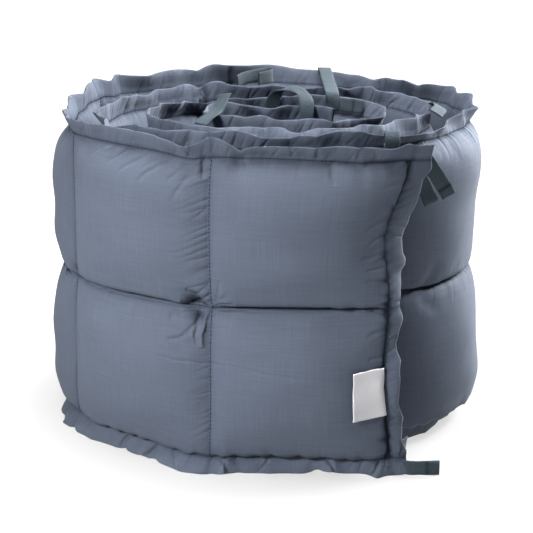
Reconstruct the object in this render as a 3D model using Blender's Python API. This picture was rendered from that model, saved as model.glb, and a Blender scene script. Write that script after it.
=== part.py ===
"""Quilted crib bumper, wound in a loose roll that stands on its long edge.

The bumper is one long padded strip with two rows of pillows and a flat sewn hem all round.
Every point of its cloth is placed by two strip coordinates: how far along the strip it lies,
counted from the outer free end, and how high up the cloth it lies, counted from the bottom hem.
All sizes are in metres, +Z is up and the free end is at the front, which faces -Y.
"""

from collections import namedtuple
from math import radians

import bpy
import numpy as np

# ---------------------------------------------------------------- driving sizes

CLOTH_HEIGHT = 0.300
INNER_SETTLE = 0.006
HEM_WIDTH = 0.016
HEM_THICKNESS = 0.0024
PILLOW_WIDTH = 0.158
PILLOW_COUNT = 18
ROW_COUNT = 2
CROWN_OUTSIDE = 0.0175
CROWN_MOST = 0.0260
CROWN_CORE = 0.0110
TURN_CLEARANCE = 0.0115

# How unevenly the pillows are filled: the spread, then how the filling drifts from pillow to
# pillow and from row to row, and where it starts (radians).
Filling = namedtuple("Filling", "spread by_pillow by_row start")
FILLING = Filling(0.07, 2.1, 1.7, 0.4)
STRIP_LENGTH = PILLOW_COUNT * PILLOW_WIDTH + 2 * HEM_WIDTH
PILLOW_HEIGHT = (CLOTH_HEIGHT - 2 * HEM_WIDTH) / ROW_COUNT

# Distance of the strip's mid-plane from the roll's axis, a row for each turn from outside in.
# The lead-in is that distance an eighth of a turn before the first row. The axis is placed so
# that the roll's box is centred on the origin.
Turn = namedtuple("Turn", "front left back right")
LEAD_IN = 0.2190
TURNS = (
    Turn(0.1570, 0.1890, 0.1830, 0.1880),
    Turn(0.1180, 0.1490, 0.1230, 0.1500),
    Turn(0.0800, 0.1080, 0.0600, 0.1060),
    Turn(0.0380, 0.0560, 0.0170, 0.0600),
)
START_TURN = radians(-36.8)
AXIS_PLACE = (0.0011, -0.0063)
QUARTER_TURN = radians(90.0)
ROUTE_POINTS = 6000

# The outer pillows lie nearly flat between their seams; the inner ones follow the curve.
FLATTEN_DEPTH = 0.0050
FLATTEN_REACH = 1.60

# How far the top and bottom hems lean outward, in millimetres, along the strip.
MILLIMETRE = 0.001
HemLean = namedtuple("HemLean", "along top bottom")
HEM_LEANS = (
    HemLean(0.000, 4.0, 6.0),
    HemLean(0.030, 9.5, 7.0),
    HemLean(0.055, 5.5, 9.0),
    HemLean(0.085, 9.0, 7.5),
    HemLean(0.120, 9.5, 7.0),
    HemLean(0.150, 11.0, 9.0),
    HemLean(0.172, 7.0, 12.0),
    HemLean(0.195, 9.5, 13.0),
    HemLean(0.225, 6.0, 9.5),
    HemLean(0.260, 4.0, 7.0),
    HemLean(0.300, 5.0, 6.5),
    HemLean(0.340, 7.5, 9.0),
    HemLean(0.380, 4.5, 10.5),
    HemLean(0.420, 8.0, 11.0),
    HemLean(0.460, 1.0, 7.0),
    HemLean(0.500, 9.0, 5.0),
    HemLean(0.540, -3.0, 6.0),
    HemLean(0.600, 3.0, 8.0),
    HemLean(0.660, -3.0, 5.0),
    HemLean(0.700, 6.0, 2.0),
    HemLean(0.800, 4.0, -3.0),
    HemLean(0.860, -4.0, -5.0),
    HemLean(0.910, 6.0, -6.0),
    HemLean(0.960, 11.0, -8.0),
    HemLean(1.000, 7.0, -8.5),
    HemLean(1.040, 12.0, -7.0),
    HemLean(1.080, 13.5, -6.0),
    HemLean(1.120, 12.0, -3.0),
    HemLean(1.170, 4.0, 2.0),
    HemLean(1.230, 7.0, 4.0),
    HemLean(1.290, -2.0, 5.0),
    HemLean(1.350, 6.0, 2.0),
    HemLean(1.420, 9.0, -3.0),
    HemLean(1.500, -3.0, -4.0),
    HemLean(1.580, 5.0, 2.0),
    HemLean(1.650, -6.0, 5.0),
    HemLean(1.740, -2.0, 3.0),
    HemLean(1.820, 8.0, -3.0),
    HemLean(1.900, -4.0, -4.0),
    HemLean(2.000, -8.0, 2.0),
    HemLean(2.100, -9.0, 4.0),
    HemLean(2.170, 4.0, 2.0),
    HemLean(2.240, -5.0, -2.0),
    HemLean(2.340, -6.0, -3.0),
    HemLean(2.430, 5.0, 2.0),
    HemLean(2.520, 7.0, 3.0),
    HemLean(2.620, -2.0, 0.0),
    HemLean(2.720, 4.0, -2.0),
    HemLean(2.800, -3.0, 2.0),
    HemLean(2.880, 1.0, 0.0),
)

# The upper corner of the free end runs on past its seam, over this reach of the strip, and the
# hem beside it turns in behind (degrees).
END_LEAN = 0.015
END_REACH = 0.15
Flap = namedtuple("Flap", "up turn")
FLAP = (
    Flap(0.000, 5.0),
    Flap(0.110, 0.0),
    Flap(0.155, 35.0),
    Flap(0.215, 52.0),
    Flap(0.265, 20.0),
    Flap(0.300, -25.0),
)
SETTLE_REACH = (0.90, 1.60)

# The side label lies on the outer pillow, with one edge caught in the side seam.
LABEL_START = 0.0035
LABEL_WIDTH = 0.029
LABEL_LOW = 0.0520
LABEL_HEIGHT = 0.043
LABEL_OFF = 0.0006
LABEL_THICKNESS = 0.0010
LABEL_GRID = (9, 9)

# The tapes. A row for each bend: the centre line's place from the roll's axis, in millimetres,
# then the direction that the tape's width runs in.
TAPE_WIDTH = 0.013
TAPE_THICKNESS = 0.0012
TAPE_STEPS = 4
TIP_LENGTH = 0.011
Bend = namedtuple("Bend", "x y z wide_x wide_y wide_z")
CORNER_TAPE = (
    Bend(131.5, -162.4, 286.0, 0.80, 0.10, 0.60),
    Bend(137.5, -158.2, 277.0, 0.82, 0.10, 0.56),
    Bend(145.0, -151.0, 265.0, 0.84, 0.10, 0.52),
    Bend(153.0, -142.0, 252.0, 0.86, 0.10, 0.48),
    Bend(156.0, -138.0, 246.0, 0.86, 0.10, 0.48),
)
CORNER_LOOP = (
    Bend(124.0, -161.2, 281.0, 0.70, 0.45, 0.45),
    Bend(129.0, -155.0, 268.0, 0.74, 0.35, 0.42),
    Bend(135.0, -148.0, 255.0, 0.80, 0.30, 0.40),
    Bend(140.5, -144.0, 243.0, 0.84, 0.25, 0.36),
    Bend(141.0, -141.0, 240.0, 0.84, 0.25, 0.36),
    Bend(138.5, -139.5, 246.0, 0.84, 0.25, 0.36),
    Bend(134.0, -142.5, 257.0, 0.80, 0.30, 0.40),
)
FLOOR_TAPE = (
    Bend(124.9, -172.4, 6.5, 0.0, 0.0, 1.0),
    Bend(132.0, -178.0, 6.5, 0.0, 0.0, 1.0),
    Bend(142.0, -180.5, 6.5, 0.0, 0.0, 1.0),
    Bend(155.0, -179.5, 6.5, 0.0, 0.0, 1.0),
)
FLOOR_STUB = (
    Bend(125.0, -167.1, 15.0, 0.5, 0.86, 0.0),
    Bend(125.8, -167.5, 23.0, 0.5, 0.86, 0.0),
    Bend(126.2, -168.3, 31.0, 0.5, 0.86, 0.0),
)
ROLLED_TAPE = (
    Bend(107.0, -119.2, 287.0, 1.0, 0.10, 0.0),
    Bend(107.0, -123.1, 295.0, 1.0, 0.10, 0.0),
    Bend(107.0, -130.5, 300.5, 1.0, 0.10, 0.0),
    Bend(107.0, -138.0, 297.0, 1.0, 0.10, 0.0),
    Bend(107.0, -139.0, 289.5, 1.0, 0.10, 0.0),
    Bend(107.0, -132.5, 285.5, 1.0, 0.10, 0.0),
    Bend(107.0, -126.5, 288.5, 1.0, 0.10, 0.0),
)
LONG_TAPE = (
    Bend(63.3, 54.9, 280.5, 1.0, -0.45, 0.0),
    Bend(63.3, 56.4, 286.5, 1.0, -0.45, 0.0),
    Bend(63.3, 58.1, 292.5, 1.0, -0.40, 0.0),
    Bend(63.3, 62.0, 296.0, 1.0, -0.15, 0.0),
    Bend(63.2, 69.0, 296.8, 1.0, 0.0, 0.0),
    Bend(62.8, 85.0, 296.5, 1.0, 0.0, 0.0),
    Bend(62.0, 110.0, 297.0, 1.0, 0.0, 0.0),
    Bend(61.0, 140.0, 298.0, 1.0, -0.1, 0.0),
    Bend(60.0, 165.0, 299.5, 1.0, -0.2, 0.0),
    Bend(59.5, 178.0, 299.8, 1.0, -0.2, 0.0),
    Bend(59.5, 183.6, 298.0, 1.0, -0.2, 0.0),
    Bend(59.5, 183.4, 292.5, 1.0, -0.2, 0.0),
    Bend(59.3, 181.8, 287.0, 1.0, -0.2, 0.0),
)
BLOCK_TAPE = (
    Bend(71.5, 52.4, 287.0, 0.0, 0.35, 0.94),
    Bend(78.0, 48.1, 287.0, 0.0, 0.35, 0.94),
    Bend(84.5, 43.5, 287.3, 0.0, 0.35, 0.94),
    Bend(92.0, 38.2, 287.6, 0.0, 0.35, 0.94),
)
ARCHED_TAPE = (
    Bend(4.0, 57.4, 281.0, 1.0, 0.0, 0.1),
    Bend(6.0, 55.7, 289.0, 1.0, 0.0, 0.1),
    Bend(10.0, 53.0, 297.0, 0.95, 0.2, 0.2),
    Bend(16.0, 49.0, 302.5, 0.9, 0.4, 0.2),
    Bend(24.0, 41.5, 304.5, 0.8, 0.6, 0.2),
    Bend(31.0, 32.0, 304.0, 0.8, 0.6, 0.1),
    Bend(36.0, 21.0, 301.0, 0.95, 0.3, 0.0),
    Bend(37.5, 12.0, 296.5, 1.0, 0.1, 0.0),
    Bend(37.5, 8.0, 288.0, 1.0, 0.0, 0.0),
    Bend(37.0, 7.0, 280.0, 1.0, 0.0, 0.0),
)
LEAF_TAPE = (
    Bend(-29.2, 120.2, 296.5, 0.0, 0.0, 1.0),
    Bend(-22.0, 130.5, 298.0, 0.0, 0.0, 1.0),
    Bend(-10.0, 144.0, 298.5, 0.0, 0.0, 1.0),
    Bend(1.0, 152.0, 298.5, 0.0, 0.0, 1.0),
    Bend(6.0, 150.0, 298.0, 0.0, 0.0, 1.0),
    Bend(3.0, 143.0, 297.5, 0.0, 0.0, 1.0),
    Bend(-8.0, 133.0, 297.0, 0.0, 0.0, 1.0),
)
SMALL_TAPE = (
    Bend(-60.0, -46.0, 288.5, 0.85, -0.3, 0.0),
    Bend(-55.0, -38.0, 292.0, 0.85, -0.3, 0.0),
    Bend(-49.0, -29.0, 294.4, 0.85, -0.4, 0.0),
    Bend(-45.0, -19.0, 296.8, 0.85, -0.5, 0.1),
    Bend(-41.0, -7.0, 302.0, 0.80, -0.5, 0.2),
    Bend(-38.0, 1.0, 307.0, 0.80, -0.5, 0.2),
)
PATCH_TAPE = (
    Bend(157.8, 27.0, 290.4, 0.85, 0.10, -0.5),
    Bend(161.5, 14.0, 293.2, 0.85, 0.05, -0.5),
    Bend(160.5, -4.0, 294.2, 0.85, -0.15, -0.45),
    Bend(155.0, -22.0, 293.5, 0.80, -0.35, -0.45),
)
Tape = namedtuple("Tape", "name bends tip")
TAPES = (
    Tape("tie_corner_long", CORNER_TAPE, True),
    Tape("tie_corner_loop", CORNER_LOOP, False),
    Tape("tie_floor", FLOOR_TAPE, True),
    Tape("tie_floor_stub", FLOOR_STUB, False),
    Tape("tie_rolled", ROLLED_TAPE, False),
    Tape("tie_long", LONG_TAPE, False),
    Tape("tie_block", BLOCK_TAPE, True),
    Tape("tie_arched", ARCHED_TAPE, False),
    Tape("tie_leaf", LEAF_TAPE, False),
    Tape("tie_small", SMALL_TAPE, False),
    Tape("tie_patch", PATCH_TAPE, False),
)

# The grid's lines between one seam and the next, crowded toward the seams, where the pillows'
# walls are steep, and the pillows' profile along the strip and up it.
PILLOW_STEPS = (0.0, 0.07, 0.24, 0.50, 0.76, 0.93, 1.0)
HEM_STEPS = (0.0, 0.5, 1.0)
Profile = namedtuple("Profile", "power edge")
CROWN_ALONG = Profile(2.6, 0.52)
CROWN_UP = Profile(2.8, 0.50)
WITHIN = 1e-9

# Finishes: colour and roughness.
Finish = namedtuple("Finish", "name colour roughness")
PADDED_COTTON = Finish("padded_cotton", (0.135, 0.165, 0.215), 0.85)
LABEL_CLOTH = Finish("label_cloth", (0.86, 0.87, 0.87), 0.80)
TAPE_COTTON = Finish("tape_cotton", (0.085, 0.125, 0.140), 0.90)
SHARP_ANGLE = radians(50.0)


# ---------------------------------------------------------------- small curves

def smooth_step(value, low, high):
    """Rise from 0 to 1 between low and high with level ends."""
    ratio = np.clip((value - low) / (high - low), 0.0, 1.0)
    return ratio * ratio * (3.0 - 2.0 * ratio)


def through_points(knots, values, where):
    """A smooth curve through the values at the knots (Catmull-Rom)."""
    knots = np.asarray(knots, float)
    values = np.asarray(values, float)
    slopes = np.gradient(values, knots, axis=0)
    index = np.clip(np.searchsorted(knots, where, side="right") - 1, 0, len(knots) - 2)
    span = knots[index + 1] - knots[index]
    ratio = np.clip((where - knots[index]) / span, 0.0, 1.0)
    if values.ndim > 1:
        ratio = ratio[:, None]
        span = span[:, None]
    square = ratio * ratio
    cube = square * ratio
    start = (2 * cube - 3 * square + 1) * values[index]
    leave = (cube - 2 * square + ratio) * span * slopes[index]
    end = (3 * square - 2 * cube) * values[index + 1]
    arrive = (cube - square) * span * slopes[index + 1]
    return start + leave + end + arrive


def dome(ratio, profile):
    """A pillow's rise between two seams: steep at the seams and level at its middle."""
    return (1.0 - np.abs(2.0 * ratio - 1.0) ** profile.power) ** profile.edge


# ---------------------------------------------------------------- the strip's route

class Route:
    """The spiral that the strip's mid-plane follows, seen from above."""

    def __init__(self):
        radii = [LEAD_IN] + [value for turn in TURNS for value in turn]
        knots = np.concatenate([[-QUARTER_TURN / 2], np.arange(len(radii) - 1) * QUARTER_TURN])
        angle = np.linspace(START_TURN, knots[-1], ROUTE_POINTS)
        radius = through_points(knots, radii, angle)
        next_radius = through_points(knots, radii, angle + 4 * QUARTER_TURN)
        self.room_inside = radius - next_radius
        self.room_outside = through_points(knots, radii, angle - 4 * QUARTER_TURN) - radius
        self.x = AXIS_PLACE[0] - radius * np.sin(angle)
        self.y = AXIS_PLACE[1] - radius * np.cos(angle)
        steps = np.hypot(np.diff(self.x), np.diff(self.y))
        self.along = np.concatenate([[0.0], np.cumsum(steps)])
        self.angle = angle
        heading = np.stack([np.gradient(self.x, self.along), np.gradient(self.y, self.along)], 1)
        heading /= np.linalg.norm(heading, axis=1)[:, None]
        self.heading = heading

    def crowns(self, along):
        """Return how far the pillows can swell outward and inward before they meet the next turn."""
        angle = np.interp(along, self.along, self.angle)
        first_turn = angle < START_TURN + 4 * QUARTER_TURN
        share = (np.interp(along, self.along, self.room_outside) - TURN_CLEARANCE) / 2
        outward = np.clip(share, 0.0, CROWN_MOST)
        outward = np.where(first_turn, CROWN_OUTSIDE, outward)
        share = (np.interp(along, self.along, self.room_inside) - TURN_CLEARANCE) / 2
        inward = np.clip(share, 0.0, CROWN_MOST)
        end_angle = np.interp(STRIP_LENGTH, self.along, self.angle)
        inward = np.where(angle > end_angle - 4 * QUARTER_TURN, CROWN_CORE, inward)
        return outward, inward

    def place(self, along):
        """Return x, y and the outward direction for distances along the strip."""
        x = np.interp(along, self.along, self.x)
        y = np.interp(along, self.along, self.y)
        head_x = np.interp(along, self.along, self.heading[:, 0])
        head_y = np.interp(along, self.along, self.heading[:, 1])
        before = np.minimum(along - self.along[0], 0.0)
        x = x + before * head_x
        y = y + before * head_y
        length = np.hypot(head_x, head_y)
        return x, y, -head_y / length, head_x / length


# ---------------------------------------------------------------- the cloth's form

def pillow_place(along):
    """Return the pillow's number and how far across it each point lies (0 to 1)."""
    inside = np.clip(along - HEM_WIDTH, 0.0, PILLOW_COUNT * PILLOW_WIDTH - WITHIN)
    number = np.floor(inside / PILLOW_WIDTH)
    return number, inside / PILLOW_WIDTH - number


def fullness(number, row):
    """Each pillow is filled a little differently."""
    drift = FILLING.by_pillow * number + FILLING.by_row * row + FILLING.start
    return 1.0 + FILLING.spread * np.sin(drift)


def crown(along, up):
    """How far a pillow's face stands off the mid-plane, as a share of the full crown."""
    number, across = pillow_place(along)
    inside = np.clip(up - HEM_WIDTH, 0.0, ROW_COUNT * PILLOW_HEIGHT - WITHIN)
    row = np.floor(inside / PILLOW_HEIGHT)
    rise = dome(inside / PILLOW_HEIGHT - row, CROWN_UP)
    share = dome(across, CROWN_ALONG) * rise * fullness(number, row)
    flat = (along < HEM_WIDTH) | (along > STRIP_LENGTH - HEM_WIDTH)
    flat = flat | (up < HEM_WIDTH) | (up > CLOTH_HEIGHT - HEM_WIDTH)
    return np.where(flat, 0.0, share)


def lean(along, up):
    """Return how far the hems carry the cloth outward, and how much the top and bottom lower it."""
    top = np.clip((up - CLOTH_HEIGHT + HEM_WIDTH) / HEM_WIDTH, 0.0, 1.0)
    bottom = np.clip((HEM_WIDTH - up) / HEM_WIDTH, 0.0, 1.0)
    marks = [row.along for row in HEM_LEANS]
    top_out = through_points(marks, [row.top for row in HEM_LEANS], along) * MILLIMETRE
    splay = through_points(marks, [row.bottom for row in HEM_LEANS], along) * MILLIMETRE
    out = top_out * top + splay * bottom
    drop = HEM_WIDTH - np.sqrt(HEM_WIDTH ** 2 - top_out ** 2)
    lift = HEM_WIDTH - np.sqrt(HEM_WIDTH ** 2 - splay ** 2)
    return out, drop * top, lift


def side_hem(along, up):
    """Return how far the free end's hem is shortened and how far it turns in behind the pillows."""
    reach = np.clip(HEM_WIDTH - along, 0.0, HEM_WIDTH)
    turn = through_points([row.up for row in FLAP], [row.turn for row in FLAP], up)
    turn = np.radians(turn)
    return reach * (1.0 - np.cos(turn)), reach * np.sin(turn)


def cloth_point(route, along, up, side):
    """Place points of one face: side is 1 for the outer face and -1 for the inner one."""
    outward, inward = route.crowns(along)
    depth = np.where(side > 0, outward, inward) * crown(along, up) + HEM_THICKNESS / 2
    across = pillow_place(along)[1]
    flat_share = 1.0 - smooth_step(along, 0.0, FLATTEN_REACH)
    middle = -FLATTEN_DEPTH * flat_share * 4.0 * across * (1.0 - across)
    out, drop, lift = lean(along, up)
    shorter, behind = side_hem(along, up)
    free_end = 1.0 - smooth_step(along, 0.0, END_REACH)
    slide = shorter - END_LEAN * free_end * smooth_step(up, CLOTH_HEIGHT / 2, CLOTH_HEIGHT)
    x, y, out_x, out_y = route.place(along + slide)
    off = middle + out + side * depth - behind
    settle = INNER_SETTLE * smooth_step(along, *SETTLE_REACH)
    z = np.clip(up - drop, 0.0, None) * (1.0 - (lift + settle) / CLOTH_HEIGHT)
    return np.stack([x + out_x * off, y + out_y * off, z], axis=-1)


def stations(count, width, steps):
    """Distances of the grid's lines, hem to hem, for a number of pillows."""
    marks = [HEM_WIDTH * step for step in HEM_STEPS[:-1]]
    for number in range(count):
        marks += [HEM_WIDTH + (number + step) * width for step in steps[:-1]]
    marks += [HEM_WIDTH + count * width + HEM_WIDTH * step for step in HEM_STEPS]
    return np.array(marks)


def shell(outer, inner):
    """Join two grids of points, back to back, to one closed mesh."""
    rows, columns = outer.shape[:2]
    points = np.concatenate([outer.reshape(-1, 3), inner.reshape(-1, 3)])
    number = np.arange(rows * columns).reshape(rows, columns)
    behind = number + rows * columns
    faces = []
    for row in range(rows - 1):
        for column in range(columns - 1):
            corners = number[row:row + 2, column:column + 2]
            faces.append((corners[0, 0], corners[1, 0], corners[1, 1], corners[0, 1]))
            corners = behind[row:row + 2, column:column + 2]
            faces.append((corners[0, 0], corners[0, 1], corners[1, 1], corners[1, 0]))
    rim = [(0, column) for column in range(columns)]
    rim += [(row, columns - 1) for row in range(1, rows)]
    rim += [(rows - 1, column) for column in range(columns - 2, -1, -1)]
    rim += [(row, 0) for row in range(rows - 2, 0, -1)]
    for this, following in zip(rim, rim[1:] + rim[:1]):
        faces.append((number[this], number[following], behind[following], behind[this]))
    return points, [tuple(int(corner) for corner in face) for face in faces]


def quilted_strip(route):
    """The padded strip: its two faces, back to back, closed by a thin rim."""
    along = stations(PILLOW_COUNT, PILLOW_WIDTH, PILLOW_STEPS)
    up = stations(ROW_COUNT, PILLOW_HEIGHT, PILLOW_STEPS)
    along, up = np.meshgrid(along, up, indexing="ij")
    outer = cloth_point(route, along, up, 1.0)
    inner = cloth_point(route, along, up, -1.0)
    return shell(inner, outer)


def side_label(route):
    """The bare label: a small sheet that follows the outer pillow, a little off its face."""
    along = HEM_WIDTH + LABEL_START + np.linspace(0.0, LABEL_WIDTH, LABEL_GRID[0])
    up = LABEL_LOW + np.linspace(0.0, LABEL_HEIGHT, LABEL_GRID[1])
    along, up = np.meshgrid(along, up, indexing="ij")
    face = cloth_point(route, along, up, 1.0)
    out_x, out_y = route.place(along)[2:]
    outward = np.stack([out_x, out_y, np.zeros_like(out_x)], axis=-1)
    back = face + outward * LABEL_OFF
    return shell(back, back + outward * LABEL_THICKNESS)


def tape(bends, tip):
    """A flat tape along its bends; a hemmed tip is twice as thick."""
    rows = np.array(bends)
    knots = np.arange(len(rows))
    where = np.linspace(0.0, len(rows) - 1.0, (len(rows) - 1) * TAPE_STEPS + 1)
    line = through_points(knots, rows[:, :3] * MILLIMETRE, where) + (*AXIS_PLACE, 0.0)
    wide = through_points(knots, rows[:, 3:], where)
    heading = np.gradient(line, axis=0)
    heading /= np.linalg.norm(heading, axis=1)[:, None]
    wide -= heading * np.sum(wide * heading, axis=1)[:, None]
    wide /= np.linalg.norm(wide, axis=1)[:, None]
    normal = np.cross(heading, wide)
    steps = np.linalg.norm(np.diff(line, axis=0), axis=1)
    left = np.concatenate([np.cumsum(steps[::-1])[::-1], [0.0]])
    doubled = (left < TIP_LENGTH) & tip
    half = TAPE_THICKNESS / 2 * np.where(doubled, 2.0, 1.0)[:, None]
    edges = (-TAPE_WIDTH / 2, 0.0, TAPE_WIDTH / 2)
    upper = np.stack([line + wide * edge + normal * half for edge in edges], axis=1)
    lower = np.stack([line + wide * edge - normal * half for edge in edges], axis=1)
    return shell(upper, lower)


# ---------------------------------------------------------------- objects

def clear_scene():
    """Remove what the file holds."""
    for thing in list(bpy.data.objects):
        bpy.data.objects.remove(thing, do_unlink=True)


def cloth_material(finish):
    """A plain cloth material."""
    material = bpy.data.materials.new(finish.name)
    material.use_nodes = True
    shader = material.node_tree.nodes["Principled BSDF"]
    shader.inputs["Base Color"].default_value = (*finish.colour, 1.0)
    shader.inputs["Roughness"].default_value = finish.roughness
    shader.inputs["Metallic"].default_value = 0.0
    return material


def add_object(name, points, faces, material):
    """One named mesh object, shaded smooth, with its material."""
    mesh = bpy.data.meshes.new(name)
    mesh.from_pydata([tuple(point) for point in points], [], faces)
    mesh.update()
    mesh.shade_smooth()
    mesh.set_sharp_from_angle(angle=SHARP_ANGLE)
    mesh.materials.append(material)
    thing = bpy.data.objects.new(name, mesh)
    bpy.context.scene.collection.objects.link(thing)
    return thing


def main():
    """Build the bumper."""
    clear_scene()
    route = Route()
    points, faces = quilted_strip(route)
    add_object("quilted_strip", points, faces, cloth_material(PADDED_COTTON))
    points, faces = side_label(route)
    add_object("side_label", points, faces, cloth_material(LABEL_CLOTH))
    ribbon = cloth_material(TAPE_COTTON)
    for piece in TAPES:
        points, faces = tape(piece.bends, piece.tip)
        add_object(piece.name, points, faces, ribbon)


if __name__ == "__main__":
    main()
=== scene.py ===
"""Dress the rolled crib bumper: quilted cotton strip, tape ties, stitches and a bare side label.

Every point of the strip's cloth is placed by two strip coordinates: how far along the strip it
lies, counted from the outer free end, and how high up the cloth it lies, counted from the bottom
hem. Lengths are in metres, but for the tables whose rows say that they are in millimetres.
"""

from __future__ import annotations

import logging
import math
import sys
from dataclasses import dataclass, field
from enum import Enum
from typing import NamedTuple

import bpy
import numpy as np
from mathutils import Euler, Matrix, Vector


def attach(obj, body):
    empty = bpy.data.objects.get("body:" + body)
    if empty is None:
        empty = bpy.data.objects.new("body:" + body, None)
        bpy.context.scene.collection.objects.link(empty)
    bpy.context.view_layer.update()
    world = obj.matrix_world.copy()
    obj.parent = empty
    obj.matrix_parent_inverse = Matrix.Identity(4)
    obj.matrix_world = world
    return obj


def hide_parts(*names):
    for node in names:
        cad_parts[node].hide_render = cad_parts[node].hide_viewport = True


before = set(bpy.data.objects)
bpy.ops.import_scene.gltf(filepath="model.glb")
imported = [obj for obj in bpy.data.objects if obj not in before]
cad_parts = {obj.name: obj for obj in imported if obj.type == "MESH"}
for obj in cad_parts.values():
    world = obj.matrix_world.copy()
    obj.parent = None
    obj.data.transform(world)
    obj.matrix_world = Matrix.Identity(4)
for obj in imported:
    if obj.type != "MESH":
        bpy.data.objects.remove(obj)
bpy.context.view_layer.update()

LOG = logging.getLogger("bumper")
MILLIMETRE = 0.001
FULL_TURN = 2 * math.pi
QUARTER_TURN = FULL_TURN / 4
WITHIN = 1e-9


# ---------------------------------------------------------------- tables of the strip's form

class Turn(NamedTuple):
    """Distances of the strip's mid-plane from the roll's axis in one turn."""

    front: float
    left: float
    back: float
    right: float


class HemLean(NamedTuple):
    """How far in millimetres the top and the bottom hem lean outward at a distance in metres."""

    along: float
    top: float
    bottom: float


class Flap(NamedTuple):
    """How far in degrees the free end's hem turns in behind the pillows at a height in metres."""

    up: float
    turn: float


def rows(kind: type, *values: tuple) -> tuple:
    """Return a table of one kind of row, a row for each tuple of values."""
    return tuple(kind(*value) for value in values)


TURNS = (
    Turn(0.1570, 0.1890, 0.1830, 0.1880),
    Turn(0.1180, 0.1490, 0.1230, 0.1500),
    Turn(0.0800, 0.1080, 0.0600, 0.1060),
    Turn(0.0380, 0.0560, 0.0170, 0.0600),
)

HEM_LEANS = rows(
    HemLean,
    (0.000, 4.0, 6.0), (0.030, 9.5, 7.0), (0.055, 5.5, 9.0), (0.085, 9.0, 7.5), (0.120, 9.5, 7.0),
    (0.150, 11.0, 9.0), (0.172, 7.0, 12.0), (0.195, 9.5, 13.0), (0.225, 6.0, 9.5), (0.260, 4.0, 7.0),
    (0.300, 5.0, 6.5), (0.340, 7.5, 9.0), (0.380, 4.5, 10.5), (0.420, 8.0, 11.0), (0.460, 1.0, 7.0),
    (0.500, 9.0, 5.0), (0.540, -3.0, 6.0), (0.600, 3.0, 8.0), (0.660, -3.0, 5.0), (0.700, 6.0, 2.0),
    (0.800, 4.0, -3.0), (0.860, -4.0, -5.0), (0.910, 6.0, -6.0), (0.960, 11.0, -8.0), (1.000, 7.0, -8.5),
    (1.040, 12.0, -7.0), (1.080, 13.5, -6.0), (1.120, 12.0, -3.0), (1.170, 4.0, 2.0), (1.230, 7.0, 4.0),
    (1.290, -2.0, 5.0), (1.350, 6.0, 2.0), (1.420, 9.0, -3.0), (1.500, -3.0, -4.0), (1.580, 5.0, 2.0),
    (1.650, -6.0, 5.0), (1.740, -2.0, 3.0), (1.820, 8.0, -3.0), (1.900, -4.0, -4.0), (2.000, -8.0, 2.0),
    (2.100, -9.0, 4.0), (2.170, 4.0, 2.0), (2.240, -5.0, -2.0), (2.340, -6.0, -3.0), (2.430, 5.0, 2.0),
    (2.520, 7.0, 3.0), (2.620, -2.0, 0.0), (2.720, 4.0, -2.0), (2.800, -3.0, 2.0), (2.880, 1.0, 0.0),
)

# How far the filling lifts the outer face at its upright seams, the first one first, in millimetres.
RAISED_SEAMS = (7.5,) + (3.0,) * 6

FLAPS = rows(
    Flap,
    (0.000, 5.0), (0.110, 0.0), (0.155, 35.0), (0.215, 52.0), (0.265, 20.0), (0.300, -25.0),
)


# ---------------------------------------------------------------- small curves

def smooth_step(value: np.ndarray, low: float, high: float) -> np.ndarray:
    """Rise from 0 to 1 between low and high with level ends.

    Args:
        value: The numbers to step.
        low: Where the rise starts.
        high: Where the rise ends.

    Returns:
        The risen numbers, from 0 to 1.
    """
    ratio = np.clip((value - low) / (high - low), 0.0, 1.0)
    return ratio * ratio * (3.0 - 2.0 * ratio)


def through_points(knots: np.ndarray, values: np.ndarray, where: np.ndarray) -> np.ndarray:
    """Follow a smooth curve through the values at the knots (Catmull-Rom).

    Args:
        knots: Rising parameters of the values.
        values: One number or one row of numbers for each knot.
        where: Parameters to read the curve at.

    Returns:
        The curve's values there.
    """
    knots = np.asarray(knots, float)
    values = np.asarray(values, float)
    where = np.asarray(where, float)
    slopes = np.gradient(values, knots, axis=0)
    index = np.clip(np.searchsorted(knots, where, side="right") - 1, 0, len(knots) - 2)
    span = knots[index + 1] - knots[index]
    ratio = np.clip((where - knots[index]) / span, 0.0, 1.0)
    if values.ndim > 1:
        ratio = ratio[..., None]
        span = span[..., None]
    square = ratio * ratio
    cube = square * ratio
    start = (2 * cube - 3 * square + 1) * values[index]
    leave = (cube - 2 * square + ratio) * span * slopes[index]
    end = (3 * square - 2 * cube) * values[index + 1]
    arrive = (cube - square) * span * slopes[index + 1]
    return start + leave + end + arrive


def ripple(phase: np.ndarray, seed: np.ndarray | float) -> np.ndarray:
    """An uneven wave between about -1 and 1, the same each time for a seed.

    Args:
        phase: Place along the wave, in radians of its main length.
        seed: Number that shifts the wave's parts against each other.

    Returns:
        The wave's height at each place.
    """
    first = np.sin(phase + 1.7 * seed)
    second = np.sin(1.618 * phase + 2.9 * seed + 1.1)
    third = np.sin(2.71 * phase + 4.3 * seed + 2.3)
    fourth = np.sin(0.53 * phase + 0.7 * seed + 0.4)
    return (first + 0.7 * second + 0.4 * third + 0.6 * fourth) / 2.0


class Wave(NamedTuple):
    """An uneven wave: its height, its main length in metres and its seed."""

    height: float
    length: float
    seed: float

    def at(self, place: np.ndarray) -> np.ndarray:
        """Return the wave's height at distances along it."""
        return self.height * ripple(place * FULL_TURN / self.length, self.seed)


# ---------------------------------------------------------------- the roll's form

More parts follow.
